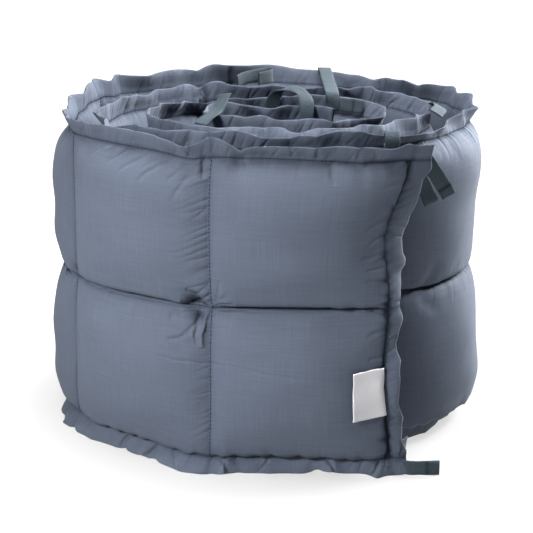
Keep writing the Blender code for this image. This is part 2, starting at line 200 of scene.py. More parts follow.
@dataclass(frozen=True)
class RollSizes:
    """Driving sizes of the bumper and of the way it is wound."""

    cloth_height: float = 0.300
    inner_settle: float = 0.006
    hem_width: float = 0.016
    hem_thickness: float = 0.0024
    pillow_width: float = 0.158
    pillow_count: int = 18
    row_count: int = 2
    crown_outside: float = 0.0175
    crown_most: float = 0.0260
    crown_core: float = 0.0110
    turn_clearance: float = 0.0115
    lead_in: float = 0.2190
    start_turn: float = math.radians(-36.8)
    axis_place: tuple[float, float] = (0.0011, -0.0063)
    flatten_depth: float = 0.0050
    flatten_reach: float = 1.60
    end_lean: float = 0.015
    end_reach: float = 0.15
    settle_reach: tuple[float, float] = (0.90, 1.60)
    route_points: int = 6000

    @property
    def strip_length(self) -> float:
        """Return the strip's length, hem to hem."""
        return self.pillow_count * self.pillow_width + 2 * self.hem_width

    @property
    def pillow_height(self) -> float:
        """Return one pillow's height."""
        return (self.cloth_height - 2 * self.hem_width) / self.row_count


class RollRoute:
    """The spiral that the strip's mid-plane follows, seen from above."""

    def __init__(self, sizes: RollSizes) -> None:
        """Work out the spiral.

        Args:
            sizes: The bumper's sizes.
        """
        self.sizes = sizes
        radii = [sizes.lead_in] + [value for turn in TURNS for value in turn]
        knots = np.concatenate([[-QUARTER_TURN / 2], np.arange(len(radii) - 1) * QUARTER_TURN])
        angle = np.linspace(sizes.start_turn, knots[-1], sizes.route_points)
        radius = through_points(knots, radii, angle)
        self.room_inside = radius - through_points(knots, radii, angle + FULL_TURN)
        self.room_outside = through_points(knots, radii, angle - FULL_TURN) - radius
        self.x = sizes.axis_place[0] - radius * np.sin(angle)
        self.y = sizes.axis_place[1] - radius * np.cos(angle)
        steps = np.hypot(np.diff(self.x), np.diff(self.y))
        self.along = np.concatenate([[0.0], np.cumsum(steps)])
        self.angle = angle
        heading = np.stack([np.gradient(self.x, self.along), np.gradient(self.y, self.along)], 1)
        self.heading = heading / np.linalg.norm(heading, axis=1)[:, None]

    def turned(self, along: np.ndarray) -> np.ndarray:
        """Return the angle round the axis at distances along the strip."""
        return np.interp(along, self.along, self.angle)

    def crowns(self, along: np.ndarray) -> tuple[np.ndarray, np.ndarray]:
        """Return how far the pillows can swell outward and inward before they meet the next turn.

        Args:
            along: Distances along the strip.

        Returns:
            The outward and the inward crown.
        """
        sizes = self.sizes
        angle = self.turned(along)
        first_turn = angle < sizes.start_turn + FULL_TURN
        room = np.interp(along, self.along, self.room_outside) - sizes.turn_clearance
        outward = np.where(first_turn, sizes.crown_outside, np.clip(room / 2, 0.0, sizes.crown_most))
        room = np.interp(along, self.along, self.room_inside) - sizes.turn_clearance
        end_angle = self.turned(np.asarray(sizes.strip_length))
        last_turn = angle > end_angle - FULL_TURN
        inward = np.where(last_turn, sizes.crown_core, np.clip(room / 2, 0.0, sizes.crown_most))
        return outward, inward

    def place(self, along: np.ndarray) -> tuple[np.ndarray, np.ndarray, np.ndarray, np.ndarray]:
        """Return x, y and the outward direction for distances along the strip.

        Args:
            along: Distances along the strip.

        Returns:
            x, y and the two parts of the outward direction.
        """
        x = np.interp(along, self.along, self.x)
        y = np.interp(along, self.along, self.y)
        head_x = np.interp(along, self.along, self.heading[:, 0])
        head_y = np.interp(along, self.along, self.heading[:, 1])
        before = np.minimum(along - self.along[0], 0.0)
        length = np.hypot(head_x, head_y)
        return x + before * head_x, y + before * head_y, -head_y / length, head_x / length


class Face(Enum):
    """The strip's two faces."""

    OUTER = 1.0
    INNER = -1.0


class Profile(NamedTuple):
    """A pillow's profile: a power for its flat middle and one for its wall at either seam."""

    power: float
    low_edge: float
    high_edge: float

    def rise(self, ratio: np.ndarray) -> np.ndarray:
        """Return the pillow's rise (0 to 1) at a ratio of the way from its low to its high seam."""
        edge = np.where(ratio < 0.5, self.low_edge, self.high_edge)
        return (1.0 - np.abs(2.0 * ratio - 1.0) ** self.power) ** edge


class Overhang(NamedTuple):
    """How far a pillow's wall sags over its seam, and how far from the seam it sags most."""

    sag: float
    reach: float

    def shift(self, distance: np.ndarray) -> np.ndarray:
        """Return how far points at a distance from the seam move toward it."""
        square = (distance / self.reach) ** 2
        return self.sag * square * np.exp(1.0 - square)


@dataclass
class BumperForm:
    """The wound bumper's smooth form, before its cloth is swelled and creased."""

    sizes: RollSizes = field(default_factory=RollSizes)
    end_profile: Profile = Profile(2.0, 0.76, 0.88)
    mid_profile: Profile = Profile(2.0, 0.80, 0.80)
    low_profile: Profile = Profile(2.8, 0.50, 0.48)
    top_profile: Profile = Profile(2.8, 0.46, 0.68)
    over_middle: Overhang = Overhang(0.0064, 0.0090)
    under_middle: Overhang = Overhang(0.0052, 0.0085)
    over_floor: Overhang = Overhang(0.0068, 0.0090)
    beside_end: Overhang = Overhang(0.0042, 0.0070)
    filling_spread: float = 0.07
    pinch: float = 0.45
    pinch_reach: float = 0.0025
    rim_share: float = 0.35
    rim_reach: float = 0.0014
    route: RollRoute = field(init=False)

    def __post_init__(self) -> None:
        """Wind the route."""
        self.route = RollRoute(self.sizes)

    def pillow_place(self, along: np.ndarray) -> tuple[np.ndarray, np.ndarray]:
        """Find each point's pillow along the strip.

        Args:
            along: Distances along the strip.

        Returns:
            The pillow's number, and how far across it each point lies (0 to 1).
        """
        sizes = self.sizes
        inside = along - sizes.hem_width
        inside = np.clip(inside, 0.0, sizes.pillow_count * sizes.pillow_width - WITHIN)
        number = np.floor(inside / sizes.pillow_width)
        return number, inside / sizes.pillow_width - number

    def row_place(self, up: np.ndarray) -> tuple[np.ndarray, np.ndarray]:
        """Find each point's row of pillows.

        Args:
            up: Heights up the cloth.

        Returns:
            The row's number, and how far up it each point lies (0 to 1).
        """
        sizes = self.sizes
        inside = np.clip(up - sizes.hem_width, 0.0, sizes.row_count * sizes.pillow_height - WITHIN)
        row = np.floor(inside / sizes.pillow_height)
        return row, inside / sizes.pillow_height - row

    def on_hem(self, along: np.ndarray, up: np.ndarray) -> np.ndarray:
        """Find the flat hem, outside the pillows.

        Args:
            along: Distances along the strip.
            up: Heights up the cloth.

        Returns:
            Where the cloth is hem.
        """
        sizes = self.sizes
        flat = (along < sizes.hem_width - WITHIN) | (up < sizes.hem_width - WITHIN)
        flat = flat | (along > sizes.strip_length - sizes.hem_width + WITHIN)
        return flat | (up > sizes.cloth_height - sizes.hem_width + WITHIN)

    def past_seams(self, along: np.ndarray, up: np.ndarray) -> tuple[np.ndarray, np.ndarray]:
        """Measure how far points lie out on the hems.

        Args:
            along: Distances along the strip.
            up: Heights up the cloth.

        Returns:
            The distance out on the side hems and on the level ones, less than 0 inside.
        """
        sizes = self.sizes
        upright = np.maximum(sizes.hem_width - along, along - sizes.strip_length + sizes.hem_width)
        return upright, np.maximum(sizes.hem_width - up, up - sizes.cloth_height + sizes.hem_width)

    def edge_distance(self, along: np.ndarray, up: np.ndarray) -> np.ndarray:
        """Measure from the cloth's edge.

        Args:
            along: Distances along the strip.
            up: Heights up the cloth.

        Returns:
            The distance to the nearest edge.
        """
        sizes = self.sizes
        from_end = np.minimum(along, sizes.strip_length - along)
        return np.minimum(from_end, np.minimum(up, sizes.cloth_height - up))

    def seam_distance(self, along: np.ndarray, up: np.ndarray) -> tuple[np.ndarray, np.ndarray]:
        """Measure from the seams.

        Args:
            along: Distances along the strip.
            up: Heights up the cloth.

        Returns:
            The distance to the nearest upright seam and to the nearest level one.
        """
        sizes = self.sizes
        across = self.pillow_place(along)[1]
        risen = self.row_place(up)[1]
        upright = np.minimum(across, 1.0 - across) * sizes.pillow_width
        level = np.minimum(risen, 1.0 - risen) * sizes.pillow_height
        past_upright, past_level = self.past_seams(along, up)
        upright = np.where(past_upright > 0, past_upright, upright)
        return upright, np.where(past_level > 0, past_level, level)

    def rises(self, along: np.ndarray, up: np.ndarray) -> tuple[np.ndarray, np.ndarray]:
        """Read the pillows' profiles.

        Args:
            along: Distances along the strip.
            up: Heights up the cloth.

        Returns:
            How far a pillow has risen (0 to 1) along the strip and up it.
        """
        number, across = self.pillow_place(along)
        row, risen = self.row_place(up)
        rise_along = np.where(number < 1, self.end_profile.rise(across), self.mid_profile.rise(across))
        return rise_along, np.where(row < 1, self.low_profile.rise(risen), self.top_profile.rise(risen))

    def crown(self, along: np.ndarray, up: np.ndarray) -> np.ndarray:
        """Swell the pillows.

        Args:
            along: Distances along the strip.
            up: Heights up the cloth.

        Returns:
            How far a pillow's face stands off the mid-plane, as a share of its full crown.
        """
        number = self.pillow_place(along)[0]
        row = self.row_place(up)[0]
        filling = 1.0 + self.filling_spread * np.sin(2.1 * number + 1.7 * row + 0.4)
        rise_along, rise_up = self.rises(along, up)
        return np.where(self.on_hem(along, up), 0.0, rise_along * rise_up * filling)

    def raised_seams(self, along: np.ndarray, up: np.ndarray) -> np.ndarray:
        """Lift the outer face at its shallow upright seams, as the filling does.

        Args:
            along: Distances along the strip.
            up: Heights up the cloth.

        Returns:
            How far it is lifted.
        """
        rise_along, rise_up = self.rises(along, up)
        lifted = np.zeros_like(along)
        for number, lift in enumerate(RAISED_SEAMS, start=1):
            ratio = (along - self.sizes.hem_width) / self.sizes.pillow_width - number
            lifted += lift * MILLIMETRE * np.cos(np.clip(ratio, -1.0, 1.0) * QUARTER_TURN) ** 2
        return np.where(self.on_hem(along, up), 0.0, lifted * (1.0 - rise_along) * rise_up)

    def lean(self, along: np.ndarray, up: np.ndarray) -> tuple[np.ndarray, np.ndarray, np.ndarray]:
        """Lean the hems outward.

        Args:
            along: Distances along the strip.
            up: Heights up the cloth.

        Returns:
            How far the hems carry the cloth outward, and how much top and bottom lower it.
        """
        hem = self.sizes.hem_width
        top = np.clip((up - self.sizes.cloth_height + hem) / hem, 0.0, 1.0)
        bottom = np.clip((hem - up) / hem, 0.0, 1.0)
        marks = [row.along for row in HEM_LEANS]
        top_out = through_points(marks, [row.top for row in HEM_LEANS], along) * MILLIMETRE
        splay = through_points(marks, [row.bottom for row in HEM_LEANS], along) * MILLIMETRE
        drop = hem - np.sqrt(hem**2 - top_out**2)
        lift = hem - np.sqrt(hem**2 - splay**2)
        return top_out * top + splay * bottom, drop * top, lift

    def side_hem(self, along: np.ndarray, up: np.ndarray) -> tuple[np.ndarray, np.ndarray]:
        """Turn the free end's hem in.

        Args:
            along: Distances along the strip.
            up: Heights up the cloth.

        Returns:
            How far the hem is shortened and how far it turns in behind.
        """
        reach = np.clip(self.sizes.hem_width - along, 0.0, self.sizes.hem_width)
        turn = np.radians(through_points([row.up for row in FLAPS], [row.turn for row in FLAPS], up))
        return reach * (1.0 - np.cos(turn)), reach * np.sin(turn)

    def half_thickness(self, along: np.ndarray, up: np.ndarray) -> np.ndarray:
        """Measure the cloth: pinched at the stitches and rounded at the rim.

        Args:
            along: Distances along the strip.
            up: Heights up the cloth.

        Returns:
            Half its thickness.
        """
        upright, level = self.seam_distance(along, up)
        pinch = 1.0 - self.pinch * np.exp(-((np.minimum(upright, level) / self.pinch_reach) ** 2))
        rounding = np.sqrt(np.clip(self.edge_distance(along, up) / self.rim_reach, 0.0, 1.0))
        rim = self.rim_share + (1.0 - self.rim_share) * rounding
        return self.sizes.hem_thickness / 2 * pinch * rim

    def overhang(self, along: np.ndarray, up: np.ndarray) -> tuple[np.ndarray, np.ndarray]:
        """Sag the pillows' walls over their seams.

        Args:
            along: Distances along the strip.
            up: Heights up the cloth.

        Returns:
            How far they sag along the strip and up it.
        """
        sizes = self.sizes
        number, across = self.pillow_place(along)
        row, risen = self.row_place(up)
        share = np.clip(self.mid_profile.rise(across) * 1.6, 0.0, 1.0)
        from_low = risen * sizes.pillow_height
        from_high = (1.0 - risen) * sizes.pillow_height
        down = np.where(row < 1, self.over_floor.shift(from_low), self.over_middle.shift(from_low))
        rise = np.where(row < 1, self.under_middle.shift(from_high), 0.0)
        side = np.where(number < 1, self.beside_end.shift(across * sizes.pillow_width), 0.0)
        side = side * np.clip(self.low_profile.rise(risen) * 1.5, 0.0, 1.0)
        flat = self.on_hem(along, up)
        return np.where(flat, 0.0, -side), np.where(flat, 0.0, (rise - down) * share)

    def shifted(self, points: np.ndarray, along: np.ndarray, moves: tuple[np.ndarray, ...]) -> np.ndarray:
        """Move points of the cloth.

        Args:
            points: Their places.
            along: Their distances along the strip.
            moves: How far they move away from the roll's axis, along the strip and upward.

        Returns:
            Their new places.
        """
        out_x, out_y = self.route.place(along)[2:]
        outward, slide, lift = moves
        move = [out_x * outward + out_y * slide, out_y * outward - out_x * slide, lift]
        return points + np.stack(np.broadcast_arrays(*move), axis=-1)

    def point(self, along: np.ndarray, up: np.ndarray, side: Face, fill: float = 1.0) -> np.ndarray:
        """Place points of one face.

        Args:
            along: Distances along the strip.
            up: Heights up the cloth.
            side: The face they lie on.
            fill: Share of the pillows' full crown.

        Returns:
            Their places, in the last axis.
        """
        sizes = self.sizes
        swells = self.route.crowns(along)
        swell = swells[0] if side is Face.OUTER else swells[1]
        depth = swell * self.crown(along, up) * fill + self.half_thickness(along, up)
        if side is Face.OUTER:
            depth = depth + self.raised_seams(along, up)
        across = self.pillow_place(along)[1]
        flat_share = 1.0 - smooth_step(along, 0.0, sizes.flatten_reach)
        middle = -sizes.flatten_depth * flat_share * 4.0 * across * (1.0 - across)
        out, drop, lift = self.lean(along, up)
        shorter, behind = self.side_hem(along, up)
        free_end = 1.0 - smooth_step(along, 0.0, sizes.end_reach)
        half = sizes.cloth_height / 2
        slide = shorter - sizes.end_lean * free_end * smooth_step(up, half, sizes.cloth_height)
        x, y, out_x, out_y = self.route.place(along + slide)
        off = middle + out + side.value * depth - behind
        settle = sizes.inner_settle * smooth_step(along, *sizes.settle_reach)
        z = np.clip(up - drop, 0.0, None) * (1.0 - (lift + settle) / sizes.cloth_height)
        return np.stack([x + out_x * off, y + out_y * off, z], axis=-1)


# ---------------------------------------------------------------- folds and puckers of the cloth

class SeamSide(Enum):
    """The four seams of a pillow."""

    LOW_ALONG = 0
    HIGH_ALONG = 1
    LOW_UP = 2
    HIGH_UP = 3


class Gather(NamedTuple):
    """Puckers along a seam: their spacing, length and depth in millimetres, and their slant."""

    spacing: float
    length: float
    depth: float
    slant: float = 0.0


class SeamGather(NamedTuple):
    """The gather of one seam of one pillow."""

    pillow: int
    row: int
    side: SeamSide
    gather: Gather


class Crease(NamedTuple):
    """A soft trough (or a ridge, where its depth is negative) between two places, in millimetres."""

    along: float
    up: float
    end_along: float
    end_up: float
    width: float
    depth: float
    bow: float = 0.0
    face: Face = Face.OUTER


class Pocket(NamedTuple):
    """A dent in a pillow: its middle, its reach along and up, and its depth, in millimetres."""

    along: float
    up: float
    reach_along: float
    reach_up: float
    depth: float
    face: Face = Face.OUTER


class HemFold(NamedTuple):
    """A fold in a hem: its place, how far it stands out, its reach, tail, pinch and lift.

    Millimetres, but for the pinch, which is the share by which the fold's two sides close up.
    """

    along: float
    out: float
    reach: float
    tail: float = 8.0
    pinch: float = 0.3
    lift: float = 0.0


class CalmPlace(NamedTuple):
    """A place on the top hem that lies still because a tape leaves it there, in millimetres."""

    along: float
    reach: float


class EndPull(NamedTuple):
    """A height at which the free end is pulled in: its reach, and the seam's and the edge's moves."""

    up: float
    reach: float
    seam: float
    edge: float


class Settled(NamedTuple):
    """A place where the whole cloth has settled: its middle, its reach and its move, in millimetres."""

    along: float
    up: float
    reach_along: float
    reach_up: float
    out: float
    lift: float


def spot(place: Pocket | Settled, along: np.ndarray, up: np.ndarray) -> np.ndarray:
    """Fade a dent or a settled place out from its middle.

    Args:
        place: The pocket or the settled place.
        along: Distances along the strip.
        up: Heights up the cloth.

    Returns:
        1 in its middle, and less the further from there.
    """
    ratio_along = (along / MILLIMETRE - place.along) / place.reach_along
    ratio_up = (up / MILLIMETRE - place.up) / place.reach_up
    return np.exp(-(ratio_along**2) - ratio_up**2)


# Creases that are narrower than this, in millimetres, are drawn by the cotton's relief.
FINE_CREASE = 2.5
USUAL_GATHERS = {
    SeamSide.LOW_ALONG: Gather(12.0, 15.0, 0.8, -0.10),
    SeamSide.HIGH_ALONG: Gather(12.0, 14.0, 0.7, -0.10),
    SeamSide.LOW_UP: Gather(14.0, 14.0, 0.6, 0.10),
    SeamSide.HIGH_UP: Gather(14.0, 18.0, 0.9, 0.35),
}
SEAM_GATHERS = (
    SeamGather(0, 1, SeamSide.HIGH_ALONG, Gather(16.0, 9.0, 0.35)),
    SeamGather(0, 0, SeamSide.HIGH_ALONG, Gather(14.0, 9.0, 0.40)),
    SeamGather(0, 1, SeamSide.LOW_ALONG, Gather(9.0, 18.0, 1.8, 0.15)),
    SeamGather(0, 0, SeamSide.LOW_ALONG, Gather(9.0, 15.0, 1.6, 0.10)),
    SeamGather(0, 1, SeamSide.HIGH_UP, Gather(19.0, 10.0, 0.5, 0.10)),
    SeamGather(0, 0, SeamSide.HIGH_UP, Gather(20.0, 9.0, 0.5)),
    SeamGather(0, 1, SeamSide.LOW_UP, Gather(22.0, 10.0, 0.4)),
    SeamGather(0, 0, SeamSide.LOW_UP, Gather(17.0, 12.0, 1.3, 0.10)),
    SeamGather(1, 1, SeamSide.LOW_ALONG, Gather(10.5, 27.0, 1.7, -0.24)),
    SeamGather(1, 0, SeamSide.LOW_ALONG, Gather(10.0, 18.0, 0.9, -0.30)),
    SeamGather(1, 1, SeamSide.HIGH_UP, Gather(24.0, 14.0, 0.5, 0.70)),
    SeamGather(1, 0, SeamSide.HIGH_UP, Gather(24.0, 10.0, 0.4, 0.20)),
    SeamGather(1, 1, SeamSide.LOW_UP, Gather(22.0, 9.0, 0.4)),
    SeamGather(1, 0, SeamSide.LOW_UP, Gather(20.0, 10.0, 0.7)),
    SeamGather(1, 1, SeamSide.HIGH_ALONG, Gather(24.0, 8.0, 0.1)),
    SeamGather(1, 0, SeamSide.HIGH_ALONG, Gather(24.0, 8.0, 0.1)),
    SeamGather(2, 1, SeamSide.LOW_ALONG, Gather(24.0, 10.0, 0.15)),
    SeamGather(2, 0, SeamSide.LOW_ALONG, Gather(24.0, 10.0, 0.15)),
    SeamGather(5, 1, SeamSide.HIGH_UP, Gather(9.0, 20.0, 2.0, 0.10)),
    SeamGather(6, 1, SeamSide.HIGH_UP, Gather(10.0, 18.0, 1.8, 0.20)),
)
CREASES = rows(
    Crease,
    (272, 285, 297, 270, 1.6, 1.0, 1.5), (262, 284, 279, 275, 1.3, 0.6, 1.0),
    (243, 286, 274, 268, 1.7, 1.2, 1.5), (232, 284, 258, 274, 1.4, 0.7, 1.0),
    (224, 285, 258, 264, 1.8, 1.2, 2.0), (214, 282, 236, 270, 1.5, 0.8, 1.5),
    (204, 284, 238, 258, 2.2, 1.1, 2.5), (192, 281, 212, 262, 2.0, 0.9, 1.5),
    (186, 276, 207, 246, 2.3, 0.8, 2.0), (180, 287, 181, 268, 2.4, 2.6, 0.8),
    (318, 277, 311, 222, 2.2, 1.0, 2.0), (326, 272, 321, 232, 2.2, 1.0, -1.0),
    (304, 264, 300, 210, 2.6, 0.7, 2.0), (340, 268, 338, 185, 2.4, 1.2, 3.0),
    (350, 250, 345, 200, 2.6, 0.9, -2.0), (322, 130, 318, 80, 2.6, 1.0, 2.0),
    (340, 125, 336, 60, 2.6, 1.1, -2.0), (150, 287, 138, 266, 4.5, 1.8, 1.0),
    (75, 286, 73, 266, 2.4, 1.6, 1.6), (61, 286, 49, 266, 2.8, 2.4, 1.0),
    (45, 284, 37, 269, 2.6, 1.4, 1.0), (100, 285, 97, 273, 2.4, 0.8), (120, 285, 122, 275, 2.2, 0.6),
    (20, 286, 52, 284, 2.2, 2.2), (177, 149, 181, 115, 2.0, -2.6, 1.0),
    (184, 150, 186, 117, 2.0, 1.6, 1.0), (182, 123, 210, 109, 2.8, 1.8, 2.0),
    (190, 129, 212, 119, 2.2, 1.1, -1.0), (196, 146, 212, 135, 2.4, 1.0, 1.0),
    (172, 144, 155, 133, 2.4, 0.9, 1.0), (172, 157, 156, 167, 2.2, 1.0, -1.0),
    (170, 161, 163, 178, 2.0, 0.9, 1.0), (194, 163, 216, 158, 3.0, 1.6, 2.0),
    (192, 168, 214, 175, 2.6, 1.0, -2.0), (180, 148, 205, 139, 1.8, 2.0, 1.0),
    (180, 144, 199, 126, 1.6, 1.0, -1.5), (178, 153, 203, 160, 1.8, 3.2, -2.0),
    (181, 158, 196, 168, 1.7, 2.4, 1.5), (171, 146, 150, 139, 1.5, 0.9, 1.0),
    (170, 149, 146, 148, 1.6, 1.1, 0.5), (171, 153, 152, 161, 1.5, 0.8, -1.0),
    (222, 103.5, 160, 100.5, 1.4, 0.45, 1.0), (160, 101, 92, 94.5, 1.3, 0.25, -1.0),
    (128, 84, 22, 78, 1.3, 0.12, 1.0), (70, 276, 71, 168, 1.2, 0.10, 0.5),
    (20, 238, 42, 226, 1.9, 0.9, 1.0), (19, 222, 38, 212, 1.7, 0.8, 1.0),
    (19, 206, 44, 200, 1.9, 0.9, -1.0), (19, 190, 38, 188, 1.7, 0.8, 1.0),
    (19, 176, 40, 178, 1.9, 0.8, 1.0), (19, 132, 36, 126, 1.8, 0.7, 1.0),
    (19, 112, 34, 108, 1.8, 0.7, -1.0), (0, 222, 17, 232, 1.6, 1.5, 0.5),
    (0, 214, 15, 219, 1.3, 0.8, 0.5), (0, 156, 16, 150, 1.9, 1.7, 0.5), (1, 127, 15, 120, 1.6, 1.5, -0.5),
    (1, 117, 14, 112, 1.4, 0.9, 0.5), (2, 60, 15, 66, 1.6, 0.9, 0.5), (107, 300, 106, 287, 1.9, 0.7, 0.5),
    (86, 300, 88, 286, 2.3, 1.3, 0.4), (55, 300, 58, 287, 2.3, 1.5, 0.4),
    (46, 299, 44, 288, 2.0, 0.8, -0.5), (197, 299, 190, 287, 2.2, 1.1, 0.5),
    (226, 299, 222, 288, 2.0, 0.7, 0.5), (152, 0, 164, 14, 2.2, 2.4, 1.0),
    (236, 0, 226, 15, 2.0, 2.4, 1.0), (268, 1, 258, 14, 1.8, 2.0, -1.0), (200, 0, 210, 14, 2.0, 1.8, 1.0),
    (132, 1, 122, 14, 1.6, 1.0, 1.0), (62, 0, 74, 14, 2.2, 2.4, 1.0), (34, 0, 24, 14, 2.0, 1.8, 1.0),
    (8, 4, 30, 13, 1.7, 1.4, 1.0), (22, 156, 44, 166, 2.6, 1.0, 1.0), (22, 146, 40, 134, 2.6, 1.0, 1.0),
    (1098, 152, 1076, 171, 4.0, 2.4, 2.0), (1099, 149, 1070, 150, 4.0, 2.0, 2.0),
    (1096, 143, 1074, 127, 3.6, 1.6, 1.0), (1060, 154, 1044, 170, 3.4, 1.2, 1.0),
    (1592, 300, 1590, 255, 3.2, 6.0, 0.0, Face.INNER), (2296, 300, 2294, 262, 2.8, 4.0, 0.0, Face.INNER),
    (648, 298, 650, 262, 2.6, 3.0, 0.0, Face.INNER),
)
POCKETS = rows(
    Pocket,
    (190, 157, 8.5, 6.0, 14.0), (186, 141, 6.0, 5.0, 5.0), (335, 158, 5.0, 5.0, 4.0),
    (150, 281, 5.0, 5.0, 2.4), (181, 276, 4.0, 7.0, 1.6),
)
TOP_FOLDS = rows(
    HemFold,
    (20, -2.0, 8.0, 6, 0.1, 3.0), (47, -2.0, 5.0, 10, 0.4), (58, 3.0, 4.0, 12, 0.6),
    (74, -2.0, 4.0, 12, 0.3), (88, 2.4, 4.0, 6, 0.5), (107, 2.0, 4.0, 6, 0.5), (128, -1.4, 6.0, 4, 0.1),
    (149, -5.0, 4.5, 14, 0.3, -3.0), (160, 2.0, 6.0, 8, 0.1, 2.0), (174, -1.0, 12.0, 8, 0.0, 6.0),
    (196, 2.0, 6.0, 8, 0.2), (207, -3.0, 4.0, 8, 0.3, -1.0), (222, 2.2, 5.0, 6, 0.4),
    (240, -1.4, 4.0, 5, 0.3), (262, 1.5, 6.0, 5, 0.1), (283, -2.4, 4.0, 5, 0.5),
    (296, 2.4, 5.0, 6, 0.3, 1.5), (312, -3.0, 5.0, 8, 0.3), (330, 3.0, 6.0, 9, 0.3, 2.0),
    (352, -3.0, 5.0, 9, 0.3), (372, 3.0, 6.0, 9, 0.3, 1.0), (428, 3.4, 10.5, 9, 0.2, 3.0),
    (447, -4.2, 9.0, 9, 0.4, -2.0), (498, 5.1, 9.0, 10, 0.4, 4.0), (510, -4.2, 7.5, 10, 0.5, -2.0),
    (520, 4.2, 7.5, 8, 0.5, 3.0), (552, -2.5, 9.0, 8, 0.2), (598, 2.5, 7.5, 8, 0.3, -1.0),
    (612, -3.4, 7.5, 8, 0.4, -2.0), (632, 2.5, 12.0, 8, 0.2, 2.0), (700, 1.7, 12.0, 6, 0.1, 1.0),
    (772, -2.5, 9.0, 8, 0.3), (795, 2.5, 10.5, 8, 0.2, -3.0), (816, -3.4, 7.5, 8, 0.4, 2.0),
    (842, -3.4, 7.5, 8, 0.4, 2.0), (856, 4.2, 9.0, 9, 0.4, -2.0), (880, -2.5, 12.0, 8, 0.1, 2.0),
    (905, 2.5, 9.0, 10, 0.3, 2.0), (925, -3.0, 9.0, 10, 0.2, -1.0), (943, 4.0, 9.0, 9, 0.3, 2.5),
    (962, -2.5, 9.0, 9, 0.2, -0.5), (975, 3.4, 7.5, 12, 0.4), (992, -3.0, 7.5, 12, 0.4, -1.0),
    (1008, 3.4, 7.5, 12, 0.4, 1.0), (1028, -3.4, 7.5, 12, 0.4), (1046, 3.0, 9.0, 12, 0.4),
    (1066, -3.4, 7.5, 12, 0.4, -1.0), (1590, -6.0, 7.5, 20, 0.5, -4.0), (1580, 4.2, 10.5, 12, 0.3, 2.0),
    (1606, 3.4, 12.0, 12, 0.2, 2.0),
)
BOTTOM_FOLDS = rows(
    HemFold,
    (-4, 2.0, 6, 4, 0.1, 2.0), (48, 0.0, 34, 4, 0.0, 3.0), (28, 4.0, 7, 5, 0.3, -2.0),
    (66, 5.0, 6, 8, 0.4, 3.5), (80, -3.0, 7, 6, 0.3, 3.0), (120, 1.5, 8, 4, 0.1), (148, -2.5, 5, 5, 0.3),
    (158, 4.5, 5, 7, 0.5, 2.0), (170, -2.5, 5, 5, 0.3), (196, 2.0, 8, 5, 0.1),
    (226, -3.0, 5, 5, 0.3, 1.0), (238, 3.0, 5, 5, 0.4, 3.0), (262, -3.0, 4, 4, 0.4, 1.0),
    (300, 2.0, 8, 4, 0.1), (330, -3.0, 5, 5, 0.4, 1.5), (344, 3.5, 5, 5, 0.4, 2.0),
    (362, -2.0, 6, 5, 0.2),
)
SETTLED_PLACES = rows(
    Settled,
    (50, 150, 70, 45, 0.0, 5.5), (182, 8, 50, 34, 11.0, -5.0), (125, 217, 46, 56, 4.5, 0.0),
    (125, 84, 46, 56, 4.5, 0.0), (44, 150, 24, 110, -2.0, 0.0), (50, 0, 50, 14, -3.0, 0.0),
    (200, 0, 90, 14, 5.0, 0.0), (330, 0, 60, 14, 4.0, 0.0), (560, 300, 90, 18, 0.0, 2.6),
    (810, 300, 60, 18, 0.0, -4.5), (940, 300, 26, 18, -5.0, 3.5), (1040, 300, 50, 15, -19.0, -2.0),
    (1010, 268, 60, 22, 4.0, 0.0), (1000, 205, 70, 48, -6.0, 0.0), (960, 38, 80, 26, 6.0, 0.0),
    (405, 300, 55, 22, -5.0, 0.0), (395, 222, 95, 72, -4.5, 0.0), (400, 36, 80, 24, 4.0, 0.0),
    (95, 300, 100, 15, -3.5, -0.8), (462, 300, 20, 18, 0.0, 5.0), (640, 300, 60, 18, 0.0, 3.0),
)
END_PULLS = rows(
    EndPull,
    (222, 44, 15.5, 3.0), (95, 55, 8.0, 11.0),
)
CALM_PLACES = rows(
    CalmPlace,
    (4, 14), (744, 16), (1128, 18), (1628, 12), (1720, 14), (1856, 16), (2366, 18), (2440, 36),
    (2688, 18), (2832, 12),
)


# Least and most of what chance gives each scattered fold: shares of the height, the rest as in HemFold.
FOLD_HEIGHTS = (0.45, 1.0)
FOLD_REACHES = (6.0, 12.0)
FOLD_TAILS = (7.0, 18.0)
FOLD_PINCHES = (0.1, 0.6)
FOLD_LIFTS = (-2.0, 2.0)


class FoldStretch(NamedTuple):
    """A stretch of hem with folds that come by chance.

    Its ends and the least and the most distance from fold to fold are in metres; how far the folds
    stand out at most is in millimetres.
    """

    start: float
    end: float
    least: float
    most: float
    out: float

    def scatter(self, rng: np.random.Generator) -> list[HemFold]:
        """Scatter the folds.

        Args:
            rng: Source of the scatter.

        Returns:
            The folds, turn about outward and inward.
        """
        folds = []
        place, sign = self.start, 1.0
        while place < self.end:
            height = sign * self.out * rng.uniform(*FOLD_HEIGHTS)
            chance = (rng.uniform(*ends) for ends in (FOLD_REACHES, FOLD_TAILS, FOLD_PINCHES, FOLD_LIFTS))
            folds.append(HemFold(place / MILLIMETRE, height, *chance))
            place += rng.uniform(self.least, self.most)
            sign = -sign
        return folds


# Least and most of what chance gives each pucker of a gather, as shares of the gather's own sizes;
# a slant is added to the gather's.
PUCKER_STARTS = (0.2, 0.9)
PUCKER_LENGTHS = (0.45, 1.30)
PUCKER_DEPTHS = (0.45, 1.25)
PUCKER_SLANTS = (-0.16, 0.16)
PUCKER_WIDTHS = (0.16, 0.26)
PUCKER_STEPS = (0.65, 1.40)


